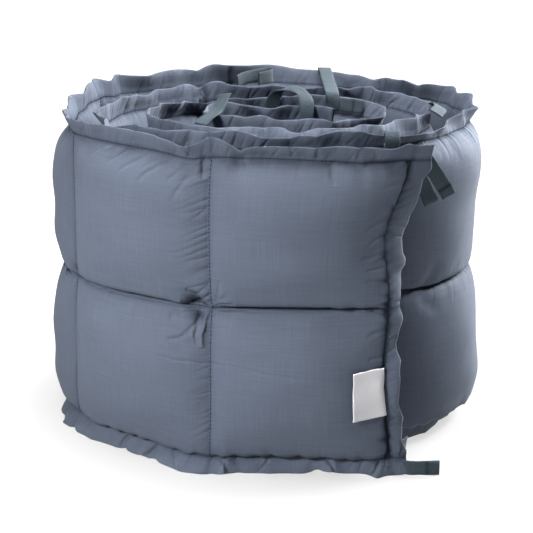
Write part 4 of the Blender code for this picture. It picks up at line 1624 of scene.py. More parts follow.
class ClothEffects:
    """The shader groups that the bumper's cloths share."""

    def __init__(self) -> None:
        """Build the groups once."""
        self.weave = self.build_weave()
        self.slubs = self.build_slubs()
        self.puckers = self.build_puckers()
        self.crease = self.build_crease()

    @staticmethod
    def build_weave() -> bpy.types.NodeTree:
        """Build a plain weave: threads over and under, uneven in height.

        Returns:
            The group. Height rises on each thread's crossing and Thread tells threads apart.
        """
        inputs = {"Threads": 2200.0, "Rib": 1.0, "Unevenness": 0.35}
        tree, given, wanted = new_group("plain_weave", inputs, ("Height", "Thread"))
        place = tree.add("ShaderNodeSeparateXYZ", given["Vector"])
        along = tree.math("MULTIPLY", place[0], given["Threads"])
        across = tree.math("MULTIPLY", tree.math("MULTIPLY", place[1], given["Threads"]), given["Rib"])
        warp, weft = (tree.math("SINE", tree.math("MULTIPLY", way, math.pi)) for way in (along, across))
        lift = tree.math("MULTIPLY_ADD", tree.math("MULTIPLY", warp, weft), 0.5, 0.5)
        uneven = tree.math("MULTIPLY", tree.noise(given["Vector"], 900.0, 2.0)[0], given["Unevenness"])
        tree.feed(tree.math("ADD", lift, uneven), wanted["Height"])
        cell = tree.add("ShaderNodeCombineXYZ", tree.math("FLOOR", along), tree.math("FLOOR", across))[0]
        thread = tree.add("ShaderNodeTexWhiteNoise", fed={"Vector": cell}, noise_dimensions="2D")
        tree.feed(thread["Value"], wanted["Thread"])
        return tree.tree

    @staticmethod
    def build_slubs() -> bpy.types.NodeTree:
        """Build the faint streaks that thicker threads make, along and across the cloth.

        Returns:
            The group. Streak is about 0.5 with soft light and dark lines.
        """
        tree, given, wanted = new_group("slub_streaks", {"Fineness": 760.0, "Length": 0.035}, ("Streak",))
        streaks = []
        for scale in ((given["Length"], 1.0, 1.0), (1.0, given["Length"], 1.0)):
            stretch = tree.add("ShaderNodeCombineXYZ", *scale)[0]
            place = tree.vectors("MULTIPLY", given["Vector"], stretch)["Vector"]
            streaks.append(tree.noise(place, given["Fineness"], 2.0, 0.6)[0])
        tree.feed(tree.math("MULTIPLY", tree.math("ADD", *streaks), 0.5), wanted["Streak"])
        return tree.tree

    @staticmethod
    def build_puckers() -> bpy.types.NodeTree:
        """Build the fine puckers that gathered seams pull into the cloth beside them.

        Returns:
            The group. Height is in millimetres, less than 0 in the troughs, and Trough is their mask.
        """
        inputs = {"Upright": 0.0, "Level": 0.0, "Spacing": 0.010, "Stretch": 0.20, "Slant": 0.24}
        inputs["Sharpness"] = 8.0
        tree, given, wanted = new_group("seam_puckers", inputs, ("Height", "Trough"))
        fine = tree.math("DIVIDE", 1.0, given["Spacing"])
        coarse = tree.math("MULTIPLY", fine, given["Stretch"])
        along, up = tree.add("ShaderNodeSeparateXYZ", given["Vector"])[:2]
        troughs = []
        ways = ((given["Upright"], along, up), (given["Level"], up, along))
        for layer, (depth, away, place) in enumerate(ways):
            sheared = tree.math("MULTIPLY_ADD", away, given["Slant"], place)
            stretched = tree.math("MULTIPLY", away, coarse), tree.math("MULTIPLY", sheared, fine)
            cell = tree.add("ShaderNodeCombineXYZ", *stretched, 3.7 * layer)[0]
            wave = tree.noise(cell, 1.0, 1.0)[0]
            off = tree.math("ABSOLUTE", tree.math("SUBTRACT", wave, 0.5))
            off = tree.math("MULTIPLY", off, given["Sharpness"])
            trough = tree.math("MAXIMUM", tree.math("SUBTRACT", 1.0, off), 0.0)
            troughs.append(tree.math("MULTIPLY", tree.math("POWER", trough, 1.4), depth))
        both = tree.math("ADD", *troughs)
        tree.feed(both, wanted["Trough"])
        tree.feed(tree.math("MULTIPLY", both, -1.0), wanted["Height"])
        return tree.tree

    @staticmethod
    def build_crease() -> bpy.types.NodeTree:
        """Build one narrow crease, drawn between two places of the cloth.

        Returns:
            The group. Run is the crease's direction over its length, Side the direction across it
            over its width. Depth and Bow are in millimetres and widths.
        """
        inputs = {"Depth": 1.0, "Bow": 0.0, "Height": 0.0}
        vectors = ("Vector", "Start", "Run", "Side")
        tree, given, wanted = new_group("drawn_crease", inputs, ("Height",), vectors)
        away = tree.vectors("SUBTRACT", given["Vector"], given["Start"])["Vector"]
        ratio, off = (tree.vectors("DOT_PRODUCT", away, given[label])["Value"] for label in ("Run", "Side"))
        arch = tree.math("MULTIPLY", ratio, tree.math("SUBTRACT", 1.0, ratio))
        arch = tree.math("MAXIMUM", arch, 0.0)
        off = tree.math("MULTIPLY_ADD", arch, given["Bow"], off)
        trough = tree.math("EXPONENT", tree.math("MULTIPLY", tree.math("MULTIPLY", off, off), -1.0))
        sunk = tree.math("MULTIPLY", trough, tree.math("SQRT", arch))
        tree.feed(tree.math("MULTIPLY_ADD", sunk, given["Depth"], given["Height"]), wanted["Height"])
        return tree.tree


# ---------------------------------------------------------------- finishes

def new_material(name: str) -> tuple[bpy.types.Material, NodeTree, Sockets]:
    """Start a material.

    Args:
        name: Its name.

    Returns:
        The material, its nodes and its shader's inputs.
    """
    material = bpy.data.materials.new(name)
    material.use_nodes = True
    return material, NodeTree(material.node_tree), material.node_tree.nodes["Principled BSDF"].inputs


@dataclass(frozen=True)
class CottonFinish:
    """A woven cotton: colours, weave, worn rims and the shade painted into its seams and puckers."""

    name: str
    colour: Colour
    light: Colour
    dark: Colour
    # The darkest colour, toward which the painted shade of seams, pockets and puckers goes.
    deep: Colour
    threads: float = 2200.0
    rib: float = 1.0
    weave_depth: float = 0.06
    streaks: float = 0.5
    mottle: float = 0.30
    mottle_scale: float = 14.0
    thread_tone: float = 0.16
    # Painted shade: its strength along the seams' lines, beside them and in the puckers' troughs, and its
    # most.
    painted_seam_shade: float = 0.55
    painted_wide_shade: float = 0.15
    painted_pucker_shade: float = 0.12
    most_painted_shade: float = 0.92
    worn: float = 0.22
    roughness: float = 0.91
    smoother: float = 0.06
    sheen: float = 0.05
    sheen_colour: Colour = (0.60, 0.68, 0.80)
    sheen_roughness: float = 0.45
    gloss: float = 0.25
    crinkle: float = 0.35
    crinkle_scale: float = 55.0
    pucker_spacing: float = 0.0125
    pucker_slant: float = 0.42
    pucker_sharpness: float = 6.0
    creases: tuple[Crease, ...] = ()
    waver: float = 0.004
    waver_scale: float = 70.0

    def tinted(
        self, tree: NodeTree, effects: ClothEffects, cloth: Socket, place: Socket, thread: Socket
    ) -> Socket:
        """Vary the cotton's colour by its streaks, its mottling and its single threads.

        Args:
            tree: The material's nodes.
            effects: The groups that the cloths share.
            cloth: The place on the cloth.
            place: The place in space.
            thread: A number that tells threads apart.

        Returns:
            The colour.
        """
        streak = tree.group(effects.slubs, Vector=cloth)["Streak"]
        tone = tree.math("MULTIPLY_ADD", streak, self.streaks, 0.5 - 0.5 * self.streaks)
        mottle = tree.noise(place, self.mottle_scale)[0]
        for source, strength in ((mottle, self.mottle), (thread, self.thread_tone)):
            tone = tree.math("ADD", tone, tree.math("MULTIPLY_ADD", source, strength, -strength / 2))
        ramp = tree.tree.nodes.new("ShaderNodeValToRGB")
        ramp.color_ramp.elements[0].color = opaque(self.dark)
        ramp.color_ramp.elements[1].color = opaque(self.light)
        ramp.color_ramp.elements.new(0.5).color = opaque(self.colour)
        tree.feed(tone, ramp.inputs["Fac"])
        return ramp.outputs["Color"]

    def shaded_and_worn(self, tree: NodeTree, colour: Socket, near: Socket, trough: Socket) -> Socket:
        """Paint shade into the cotton's seams, pockets and puckers, and lighten it at its worn rims.

        Args:
            tree: The material's nodes.
            colour: The cotton's colour.
            near: How near to a seam's line, or how deep in a pocket, each place is; it sets the painted
                shade.
            trough: How deep it lies in a pucker; it sets the painted shade in the trough.

        Returns:
            The colour.
        """
        # Painted shade near a seam's line, in a pocket and in a pucker's trough.
        painted_shade = tree.math("MULTIPLY", near, self.painted_wide_shade)
        painted_shade = tree.math("MULTIPLY_ADD", tree.math("POWER", near, 3.0), self.painted_seam_shade, painted_shade)
        painted_shade = tree.math("MULTIPLY_ADD", trough, self.painted_pucker_shade, painted_shade)
        colour = tree.mix(tree.math("MINIMUM", painted_shade, self.most_painted_shade), colour, opaque(self.deep))
        return tree.mix(tree.math("MULTIPLY", tree.attribute("rim"), self.worn), colour, opaque(self.light))

    def crease_height(self, tree: NodeTree, effects: ClothEffects, cloth: Socket, height: Socket) -> Socket:
        """Draw the narrow creases, a little wavering, into the cloth's height.

        Args:
            tree: The material's nodes.
            effects: The groups that the cloths share.
            cloth: The place on the cloth.
            height: The height so far, in millimetres.

        Returns:
            The height with the creases.
        """
        waver = tree.noise(cloth, self.waver_scale, 2.0)["Color"]
        shifted = tree.vectors("SUBTRACT", cloth, (self.waver / 2, self.waver / 2, 0.0))["Vector"]
        moved = tree.vectors("MULTIPLY_ADD", waver, (self.waver, self.waver, 0.0), shifted)["Vector"]
        for crease in self.creases:
            run = Vector((crease.end_along - crease.along, crease.end_up - crease.up, 0.0)) * MILLIMETRE
            across = Vector((-run.y, run.x, 0.0)) / run.length
            height = tree.group(
                effects.crease,
                Vector=moved,
                Start=(crease.along * MILLIMETRE, crease.up * MILLIMETRE, 0.0),
                Run=run / run.length_squared,
                Side=across / (crease.width * MILLIMETRE),
                Bow=-4.0 * crease.bow / crease.width,
                Depth=-2.0 * crease.depth,
                Height=height,
            )["Height"]
        return height

    def build(self, effects: ClothEffects) -> bpy.types.Material:
        """Make the material.

        Args:
            effects: The groups that the cloths share.

        Returns:
            The finished material.
        """
        material, tree, shader = new_material(self.name)
        cloth = tree.add("ShaderNodeUVMap", uv_map="cloth")[0]
        place = tree.add("ShaderNodeTexCoord")["Object"]
        near = tree.attribute("near_seam")
        weave = tree.group(effects.weave, Vector=cloth, Threads=self.threads, Rib=self.rib)
        puckers = tree.group(
            effects.puckers,
            Vector=cloth,
            Upright=tree.attribute("pucker_upright"),
            Level=tree.attribute("pucker_level"),
            Spacing=self.pucker_spacing,
            Slant=self.pucker_slant,
            Sharpness=self.pucker_sharpness,
        )
        colour = self.tinted(tree, effects, cloth, place, weave["Thread"])
        tree.feed(self.shaded_and_worn(tree, colour, near, puckers["Trough"]), shader["Base Color"])
        rough = tree.math("MULTIPLY_ADD", weave["Height"], -self.smoother, self.roughness)
        tree.feed(rough, shader["Roughness"])
        shine = tree.math("MAXIMUM", tree.math("SUBTRACT", 1.0, near), 0.0)
        tree.feed(tree.math("MULTIPLY", shine, self.sheen), shader["Sheen Weight"])
        tree.feed(self.sheen_roughness, shader["Sheen Roughness"])
        tree.feed(opaque(self.sheen_colour), shader["Sheen Tint"])
        tree.feed(tree.math("MULTIPLY", shine, self.gloss), shader["Specular IOR Level"])
        height = tree.math("MULTIPLY_ADD", weave["Height"], self.weave_depth, puckers["Height"])
        crinkle = tree.noise(place, self.crinkle_scale, 2.0, 0.45)[0]
        height = tree.math("MULTIPLY_ADD", crinkle, self.crinkle, height)
        height = self.crease_height(tree, effects, cloth, height)
        tree.feed(tree.bump(height, MILLIMETRE), shader["Normal"])
        return material


@dataclass(frozen=True)
class ThreadFinish:
    """A twisted sewing thread."""

    name: str
    colour: Colour
    dark: Colour
    twist: float = 2600.0
    relief: float = 0.0001
    roughness: float = 0.6
    gloss: float = 0.02

    def build(self) -> bpy.types.Material:
        """Make the material.

        Returns:
            The finished material.
        """
        material, tree, shader = new_material(self.name)
        plies = tree.noise(tree.add("ShaderNodeTexCoord")["Object"], self.twist, 1.0)[0]
        tree.feed(tree.mix(plies, opaque(self.dark), opaque(self.colour)), shader["Base Color"])
        tree.feed(self.roughness, shader["Roughness"])
        tree.feed(self.gloss, shader["Specular IOR Level"])
        tree.feed(tree.bump(plies, self.relief), shader["Normal"])
        return material


# ---------------------------------------------------------------- the strip

@dataclass(frozen=True)
class SeamShade:
    """The shade in the seams and pockets that the cotton reads: its strength and its reach."""

    upright: float = 0.72
    upright_reach: float = 0.004
    level: float = 0.95
    level_reach: float = 0.004
    top_level_reach: float = 0.002
    top_from: float = 0.20
    end_seam: float = 1.35
    end_jag: Wave = Wave(0.25, 0.011, 4.0)
    end_on_pillow: tuple[float, float] = (0.0045, 0.0095)
    end_on_hem: tuple[float, float] = (0.0026, 0.0044)
    end_widens_below: float = 0.272
    end_widens_in: float = 0.035
    end_from_corner: tuple[float, float] = (-0.0015, 0.0005)
    top_line: float = 1.25
    top_line_width: float = 0.0018
    top_line_start: tuple[float, float] = (0.014, 0.016)
    top_line_end: tuple[float, float] = (0.030, 0.085)
    pocket_count: int = 3
    pocket_spread: float = 1.5
    most: float = 1.15

    def end_shade(self, form: BumperForm, along: np.ndarray, up: np.ndarray) -> np.ndarray:
        """Shade the free end's side seam, jagged and wider further down.

        Args:
            form: The bumper's form.
            along: Distances along the strip.
            up: Heights up the cloth.

        Returns:
            How near to the seam each place is.
        """
        sizes = form.sizes
        beyond = along - sizes.hem_width
        wider = np.clip((self.end_widens_below - up) / self.end_widens_in, 0.0, 1.0)
        widths = (self.end_on_pillow, self.end_on_hem)
        on_pillow, on_hem = (narrow + (wide - narrow) * wider for narrow, wide in widths)
        wall = (1.0 + self.end_jag.at(up)) * np.where(beyond > 0, on_pillow, on_hem)
        from_corner = np.minimum(up, sizes.cloth_height - up) - sizes.hem_width
        inside = smooth_step(from_corner, *self.end_from_corner)
        return self.end_seam * np.exp(-(np.abs(beyond) / wall) ** 4) * inside

    def top_shade(self, form: BumperForm, along: np.ndarray, up: np.ndarray) -> np.ndarray:
        """Shade the top seam's line beside the free end.

        Args:
            form: The bumper's form.
            along: Distances along the strip.
            up: Heights up the cloth.

        Returns:
            How near to the line each place is.
        """
        off = (up - form.sizes.cloth_height + form.sizes.hem_width) / self.top_line_width
        start = smooth_step(along, *self.top_line_start)
        return self.top_line * np.exp(-(off**2)) * start * (1.0 - smooth_step(along, *self.top_line_end))

    def at(self, form: BumperForm, along: np.ndarray, up: np.ndarray) -> np.ndarray:
        """Work out the shade.

        Args:
            form: The bumper's form.
            along: Distances along the strip.
            up: Heights up the cloth.

        Returns:
            How near to a seam's line, or how deep in a pocket, each place lies.
        """
        upright, level = form.seam_distance(along, up)
        reach = np.where(up > self.top_from, self.top_level_reach, self.level_reach)
        near = self.upright * np.exp(-upright / self.upright_reach)
        near = np.maximum(near, self.level * np.exp(-level / reach))
        near = np.maximum(near, self.end_shade(form, along, up))
        near = np.minimum(np.maximum(near, self.top_shade(form, along, up)), self.most)
        for pocket in POCKETS[:self.pocket_count]:
            near = np.maximum(near, self.most * spot(pocket, along, up) ** (1.0 / self.pocket_spread))
        return near


@dataclass
class QuiltedStrip:
    """The long quilted strip, wound up, with its hems, pillows and puckers."""

    form: BumperForm
    front_columns: int = 52
    outer_columns: int = 40
    inner_columns: int = 36
    front_pillows: int = 2
    outer_pillows: int = 8
    rows: tuple[int, int] = (24, 29)
    crowding: float = 0.42
    hem_steps: tuple[float, ...] = (0.0, 0.07, 0.36, 0.68, 1.0)
    rim_reach: float = 0.0012
    shade: SeamShade = SeamShade()
    along: np.ndarray = field(init=False)
    up: np.ndarray = field(init=False)
    faces: dict[Face, np.ndarray] = field(init=False, default_factory=dict)

    def __post_init__(self) -> None:
        """Lay out the grid's lines."""
        sizes = self.form.sizes
        columns = [self.front_columns] * self.front_pillows
        columns += [self.outer_columns] * (self.outer_pillows - self.front_pillows)
        columns += [self.inner_columns] * (sizes.pillow_count - self.outer_pillows)
        self.along = self.stations(columns, sizes.pillow_width)
        self.up = self.stations(list(self.rows), sizes.pillow_height)

    def stations(self, steps: list[int], width: float) -> np.ndarray:
        """Space the grid's lines, closer at the seams.

        Args:
            steps: How many spaces cross each pillow.
            width: A pillow's size that way.

        Returns:
            The lines' distances, hem to hem.
        """
        hem = self.form.sizes.hem_width
        marks = [hem * step for step in self.hem_steps[:-1]]
        for number, count in enumerate(steps):
            even = np.arange(count) / count
            eased = even - self.crowding * np.sin(FULL_TURN * even) / FULL_TURN
            marks += list(hem + (number + eased) * width)
        end = hem + len(steps) * width
        marks += [end + hem * (1.0 - step) for step in reversed(self.hem_steps)]
        return np.array(marks)

    def build(self, material: bpy.types.Material) -> bpy.types.Object:
        """Make the strip.

        Args:
            material: Its cotton.

        Returns:
            The finished piece.
        """
        along, up = np.meshgrid(self.along, self.up, indexing="ij")
        relief = ClothRelief(self.form)
        outer = self.form.point(along, up, Face.OUTER)
        outer = PillowCloth(self.form).add_to(outer, self.along, self.up)
        outer = relief.move(outer, along, up, Face.OUTER)
        inner = relief.move(self.form.point(along, up, Face.INNER), along, up, Face.INNER)
        self.faces = {Face.OUTER: outer, Face.INNER: inner}
        thing = shell_object("quilted_cotton_strip", inner, outer)
        behind = -up - self.form.sizes.hem_thickness
        set_cloth_uv(thing, twice(along), np.concatenate([behind.ravel(), up.ravel()]))
        # The painted shade of the seams and pockets, which darkens the cotton's colour.
        set_attribute(thing, "near_seam", self.shade.at(self.form, along, up))
        set_attribute(thing, "rim", np.exp(-self.form.edge_distance(along, up) / self.rim_reach))
        behind, front = (relief.pucker_masks(along, up, side) for side in (Face.INNER, Face.OUTER))
        set_attribute(thing, "pucker_upright", behind[0], front[0])
        set_attribute(thing, "pucker_level", behind[1], front[1])
        thing.data.materials.append(material)
        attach(thing, "root")
        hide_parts("quilted_strip")
        LOG.info("%s: %d faces", thing.name, len(thing.data.polygons))
        return thing

    def normals(self, side: Face) -> np.ndarray:
        """Work out one finished face's outward normals.

        Args:
            side: The face.

        Returns:
            A normal for each point of its grid.
        """
        points = self.faces[side]
        normal = np.cross(np.gradient(points, axis=0), np.gradient(points, axis=1))
        return normal * (-side.value / np.maximum(np.linalg.norm(normal, axis=-1), WITHIN)[..., None])

    def surface(self, side: Face, along: np.ndarray, up: np.ndarray) -> tuple[np.ndarray, np.ndarray]:
        """Read the finished cloth between the grid's points.

        Args:
            side: The face.
            along: Distances along the strip.
            up: Heights up the cloth.

        Returns:
            The places and the outward normals there.
        """
        column = np.clip(np.searchsorted(self.along, along, side="right") - 1, 0, len(self.along) - 2)
        row = np.clip(np.searchsorted(self.up, up, side="right") - 1, 0, len(self.up) - 2)
        over = ((along - self.along[column]) / (self.along[column + 1] - self.along[column]))[..., None]
        rise = ((up - self.up[row]) / (self.up[row + 1] - self.up[row]))[..., None]
        found = []
        for grid in (self.faces[side], self.normals(side)):
            low = grid[column, row] * (1.0 - over) + grid[column + 1, row] * over
            high = grid[column, row + 1] * (1.0 - over) + grid[column + 1, row + 1] * over
            found.append(low * (1.0 - rise) + high * rise)
        return found[0], found[1] / np.linalg.norm(found[1], axis=-1)[..., None]


# ---------------------------------------------------------------- the stitches

@dataclass
class Stitches:
    """The sewing along the strip's seams: one stitch shape, set along curves by Geometry Nodes."""

    strip: QuiltedStrip
    pitch: float = 0.0034
    length: float = 0.0025
    width: float = 0.00080
    lift: float = 0.00025
    uneven: tuple[float, float] = (0.82, 1.12)
    seed: int = 7

    @staticmethod
    def nearest(lines: np.ndarray, place: float) -> int:
        """Return the number of the grid's line that is nearest to a place."""
        return int(np.argmin(np.abs(lines - place)))

    def runs(self) -> list[np.ndarray]:
        """Find the sewing lines.

        Returns:
            The lines, each a row of points on the finished cloth.
        """
        sizes = self.strip.form.sizes
        hem = sizes.hem_width
        heights = (hem, hem + sizes.pillow_height, sizes.cloth_height - hem)
        seams = [hem + number * sizes.pillow_width for number in range(sizes.pillow_count + 1)]
        rows = [self.nearest(self.strip.up, height) for height in heights]
        columns = [self.nearest(self.strip.along, seam) for seam in seams]
        lines = []
        for side in Face:
            points = self.strip.faces[side] + self.strip.normals(side) * self.lift
            lines += [points[columns[0]:columns[-1] + 1, row] for row in rows]
            lines += [points[column, rows[0]:rows[-1] + 1] for column in columns]
        return lines

    def curve(self) -> bpy.types.Object:
        """Make one curve object of all the sewing lines.

        Returns:
            The object.
        """
        curve = bpy.data.curves.new("sewing_lines", "CURVE")
        curve.dimensions = "3D"
        for line in self.runs():
            spline = curve.splines.new("POLY")
            spline.points.add(len(line) - 1)
            rows = np.concatenate([line, np.ones((len(line), 1))], axis=1)
            spline.points.foreach_set("co", rows.astype(np.float32).ravel())
        thing = bpy.data.objects.new("sewing_lines", curve)
        bpy.context.scene.collection.objects.link(thing)
        return thing

    def tree(self) -> bpy.types.NodeTree:
        """Lay out the nodes that sew along the curves.

        Returns:
            The node tree, with its inputs named.
        """
        group = bpy.data.node_groups.new("stitch_runs", "GeometryNodeTree")
        kinds = {"Geometry": "Geometry", "Pitch": "Float", "Length": "Float", "Width": "Float"}
        kinds |= {"Seed": "Int", "Thread": "Material"}
        for label, kind in kinds.items():
            group.interface.new_socket(label, in_out="INPUT", socket_type="NodeSocket" + kind)
        group.interface.new_socket("Geometry", in_out="OUTPUT", socket_type="NodeSocketGeometry")
        nodes = NodeTree(group)
        given = nodes.add("NodeGroupInput")
        line = {"Curve": given["Geometry"], "Length": given["Pitch"]}
        steps = nodes.add("GeometryNodeResampleCurve", fed=line, mode="LENGTH")["Curve"]
        stitch = nodes.add("GeometryNodeMeshIcoSphere", fed={"Radius": 0.5, "Subdivisions": 1})["Mesh"]
        tangent = {"Vector": nodes.add("GeometryNodeInputTangent")["Tangent"]}
        heading = nodes.add("FunctionNodeAlignRotationToVector", fed=tangent, axis="X")["Rotation"]
        uneven = group.nodes.new("FunctionNodeRandomValue")
        uneven.data_type = "FLOAT"
        uneven.inputs[2].default_value, uneven.inputs[3].default_value = self.uneven
        nodes.feed(given["Seed"], uneven.inputs["Seed"])
        length = nodes.math("MULTIPLY", given["Length"], uneven.outputs[1])
        size = nodes.add("ShaderNodeCombineXYZ", length, given["Width"], given["Width"])[0]
        sewn = {"Points": steps, "Instance": stitch, "Rotation": heading, "Scale": size}
        sewn = nodes.add("GeometryNodeInstanceOnPoints", fed=sewn)["Instances"]
        real = nodes.add("GeometryNodeRealizeInstances", sewn)["Geometry"]
        thread = nodes.add("GeometryNodeSetMaterial", fed={"Geometry": real, "Material": given["Thread"]})
        nodes.add("NodeGroupOutput", thread["Geometry"])
        return group

    def build(self, material: bpy.types.Material) -> bpy.types.Object:
        """Sew.

        Args:
            material: The thread.

        Returns:
            The finished piece, all stitches in one mesh.
        """
        lines = self.curve()
        modifier = lines.modifiers.new("stitch_runs", "NODES")
        modifier.node_group = self.tree()
        values = {
            "Pitch": self.pitch, "Length": self.length, "Width": self.width,
            "Seed": self.seed, "Thread": material,
        }
        for item in modifier.node_group.interface.items_tree:
            if item.in_out == "INPUT" and item.name in values:
                modifier[item.identifier] = values[item.name]
        sewn = lines.evaluated_get(bpy.context.evaluated_depsgraph_get())
        mesh = bpy.data.meshes.new_from_object(sewn)
        mesh.name = "seam_stitches"
        bpy.data.objects.remove(lines, do_unlink=True)
        mesh.shade_smooth()
        thing = bpy.data.objects.new("seam_stitches", mesh)
        bpy.context.scene.collection.objects.link(thing)
        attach(thing, "root")
        LOG.info("%s: %d faces", thing.name, len(mesh.polygons))
        return thing


# ---------------------------------------------------------------- the tapes

class Bend(NamedTuple):
    """One bend of a tape: its place from the roll's axis in millimetres, and its width's direction."""

    x: float
    y: float
    z: float
    wide_x: float
    wide_y: float
    wide_z: float


class Hold(Enum):
    """How a tape lies."""

    LAID = "laid"
    FOLDED = "folded"
    HUNG = "hung"


@dataclass
class TapeTie:
    """A narrow cotton tape, sewn into the hem at one end."""

    node: str
    bends: tuple[Bend, ...]
    hold: Hold
    tip: bool = False
    width: float = 0.013
    thickness: float = 0.0012
    tip_length: float = 0.011
    step: float = 0.0016
    curl_rate: float = 190.0
    curl_twist: float = 1.5
    waist_rate: float = 260.0
    across: tuple[float, ...] = (-0.5, -0.46, -0.3, -0.1, 0.1, 0.3, 0.46, 0.5)
    tip_step: tuple[float, float] = (-0.0008, 0.0004)
    rounding: float = 0.05
    thin: float = 0.30
    curl: float = 0.0005
    waist: float = 0.02
    seam_reach: float = 0.0020
    rim_reach: float = 0.0007

    def line(self, axis: tuple[float, float]) -> tuple[np.ndarray, np.ndarray, np.ndarray]:
        """Follow the tape's centre line.

        Args:
            axis: The place of the roll's axis.

        Returns:
            Points of the line, the width's direction there and the distance from the root.
        """
        rows = np.array(self.bends)
        knots = np.arange(len(rows))
        fine = np.linspace(0.0, len(rows) - 1.0, 60 * len(rows))
        path = through_points(knots, rows[:, :3], fine) * MILLIMETRE + (*axis, 0.0)
        run = np.concatenate([[0.0], np.cumsum(np.linalg.norm(np.diff(path, axis=0), axis=1))])
        count = max(8, int(run[-1] / self.step))
        where = np.interp(np.linspace(0.0, run[-1], count), run, fine)
        path = through_points(knots, rows[:, :3], where) * MILLIMETRE + (*axis, 0.0)
        wide = through_points(knots, rows[:, 3:], where)
        return path, wide, np.linspace(0.0, run[-1], count)

    def shell(self, path: np.ndarray, wide: np.ndarray, run: np.ndarray) -> tuple[np.ndarray, np.ndarray]:
        """Give the tape's line its width and thickness, doubled at a sewn tip.

        Args:
            path: Points of the line.
            wide: The width's direction there.
            run: Their distance from the root.

        Returns:
            The grids of the tape's two faces.
        """
        heading = np.gradient(path, axis=0)
        heading /= np.linalg.norm(heading, axis=1)[:, None]
        wide = wide - heading * np.sum(wide * heading, axis=1)[:, None]
        wide /= np.linalg.norm(wide, axis=1)[:, None]
        normal = np.cross(heading, wide)
        share = np.array(self.across)
        doubled = smooth_step(self.tip_length - (run[-1] - run), *self.tip_step) * self.tip
        edge = np.clip((0.5 - np.abs(share)) / self.rounding, 0.0, 1.0) ** 0.5
        thick = self.thickness / 2 * (1.0 + doubled)[:, None] * (self.thin + (1.0 - self.thin) * edge)
        seed = float(len(self.node) + self.bends[0].x)
        phase = run[:, None] * self.curl_rate + share * self.curl_twist
        curl = self.curl * ripple(phase, seed) * (np.abs(share) * 2) ** 2
        waist = 1.0 + self.waist * ripple(run * self.waist_rate, seed + 2.0)
        over = (share * self.width)[None, :] * waist[:, None]
        middle = path[:, None] + wide[:, None] * over[..., None] + normal[:, None] * curl[..., None]
        return middle + thick[..., None] * normal[:, None], middle - thick[..., None] * normal[:, None]

    def build(self, axis: tuple[float, float], material: bpy.types.Material) -> bpy.types.Object:
        """Make the tape.

        Args:
            axis: The place of the roll's axis.
            material: Its cotton.

        Returns:
            The finished piece.
        """
        path, wide, run = self.line(axis)
        thing = shell_object("cotton_" + self.node, *self.shell(path, wide, run))
        along, share = np.meshgrid(run, np.array(self.across), indexing="ij")
        over = (share * self.width).ravel()
        set_cloth_uv(thing, twice(along), np.concatenate([over, over + self.width]))
        tip_seam = np.exp(-(((run[-1] - along - self.tip_length) / self.seam_reach) ** 2)) * self.tip
        set_attribute(thing, "near_seam", tip_seam)
        set_attribute(thing, "rim", np.exp(-(0.5 - np.abs(share)) * self.width / self.rim_reach))
        thing.data.materials.append(material)
        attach(thing, "root")
        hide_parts(self.node)
        return thing


CORNER_TAPE = rows(
    Bend,
    (131.5, -162.4, 286.0, 0.80, 0.10, 0.60), (137.5, -158.2, 277.0, 0.82, 0.10, 0.56),
    (145.0, -151.0, 265.0, 0.84, 0.10, 0.52), (153.0, -142.0, 252.0, 0.86, 0.10, 0.48),
    (156.0, -138.0, 246.0, 0.86, 0.10, 0.48),
)
CORNER_LOOP = rows(
    Bend,
    (124.0, -161.2, 281.0, 0.70, 0.45, 0.45), (129.0, -155.0, 268.0, 0.74, 0.35, 0.42),
    (135.0, -148.0, 255.0, 0.80, 0.30, 0.40), (140.5, -144.0, 243.0, 0.84, 0.25, 0.36),
    (141.0, -141.0, 240.0, 0.84, 0.25, 0.36), (138.5, -139.5, 246.0, 0.84, 0.25, 0.36),
    (134.0, -142.5, 257.0, 0.80, 0.30, 0.40),
)
FLOOR_TAPE = rows(
    Bend,
    (118.5, -166.5, 7.0, 0.0, 0.0, 1.0), (126.0, -170.5, 7.0, 0.0, 0.05, 1.0),
    (138.0, -171.5, 7.4, 0.0, 0.10, 1.0), (152.0, -170.0, 7.0, 0.0, 0.05, 1.0),
)
FLOOR_STUB = rows(
    Bend,
    (119.0, -164.0, 18.0, 0.5, 0.86, 0.0), (120.2, -164.5, 25.0, 0.5, 0.86, 0.0),
    (121.0, -165.5, 32.5, 0.5, 0.86, 0.0),
)
ROLLED_TAPE = rows(
    Bend,
    (107.0, -119.2, 287.0, 1.0, 0.10, 0.0), (107.0, -123.1, 295.0, 1.0, 0.10, 0.0),
    (107.0, -130.5, 300.5, 1.0, 0.10, 0.0), (107.0, -138.0, 297.0, 1.0, 0.10, 0.0),
    (107.0, -139.0, 289.5, 1.0, 0.10, 0.0), (107.0, -132.5, 285.5, 1.0, 0.10, 0.0),
    (107.0, -126.5, 288.5, 1.0, 0.10, 0.0),
)
LONG_TAPE = rows(
    Bend,
    (63.3, 54.9, 280.5, 1.0, -0.45, 0.0), (63.3, 56.4, 286.5, 1.0, -0.45, 0.0),
    (63.3, 58.1, 292.5, 1.0, -0.40, 0.0), (63.3, 62.0, 296.0, 1.0, -0.15, 0.0),
    (63.2, 69.0, 296.8, 1.0, 0.0, 0.0), (62.8, 85.0, 296.5, 1.0, 0.0, 0.0),
    (62.0, 110.0, 297.0, 1.0, 0.0, 0.0), (61.0, 140.0, 298.0, 1.0, -0.1, 0.0),
    (60.0, 165.0, 299.5, 1.0, -0.2, 0.0), (59.5, 178.0, 299.8, 1.0, -0.2, 0.0),
    (59.5, 183.6, 298.0, 1.0, -0.2, 0.0), (59.5, 183.4, 292.5, 1.0, -0.2, 0.0),
    (59.3, 181.8, 287.0, 1.0, -0.2, 0.0),
)
BLOCK_TAPE = rows(
    Bend,
    (71.5, 52.4, 287.0, 0.0, 0.35, 0.94), (78.0, 48.1, 287.0, 0.0, 0.35, 0.94),
    (84.5, 43.5, 287.3, 0.0, 0.35, 0.94), (92.0, 38.2, 287.6, 0.0, 0.35, 0.94),
)
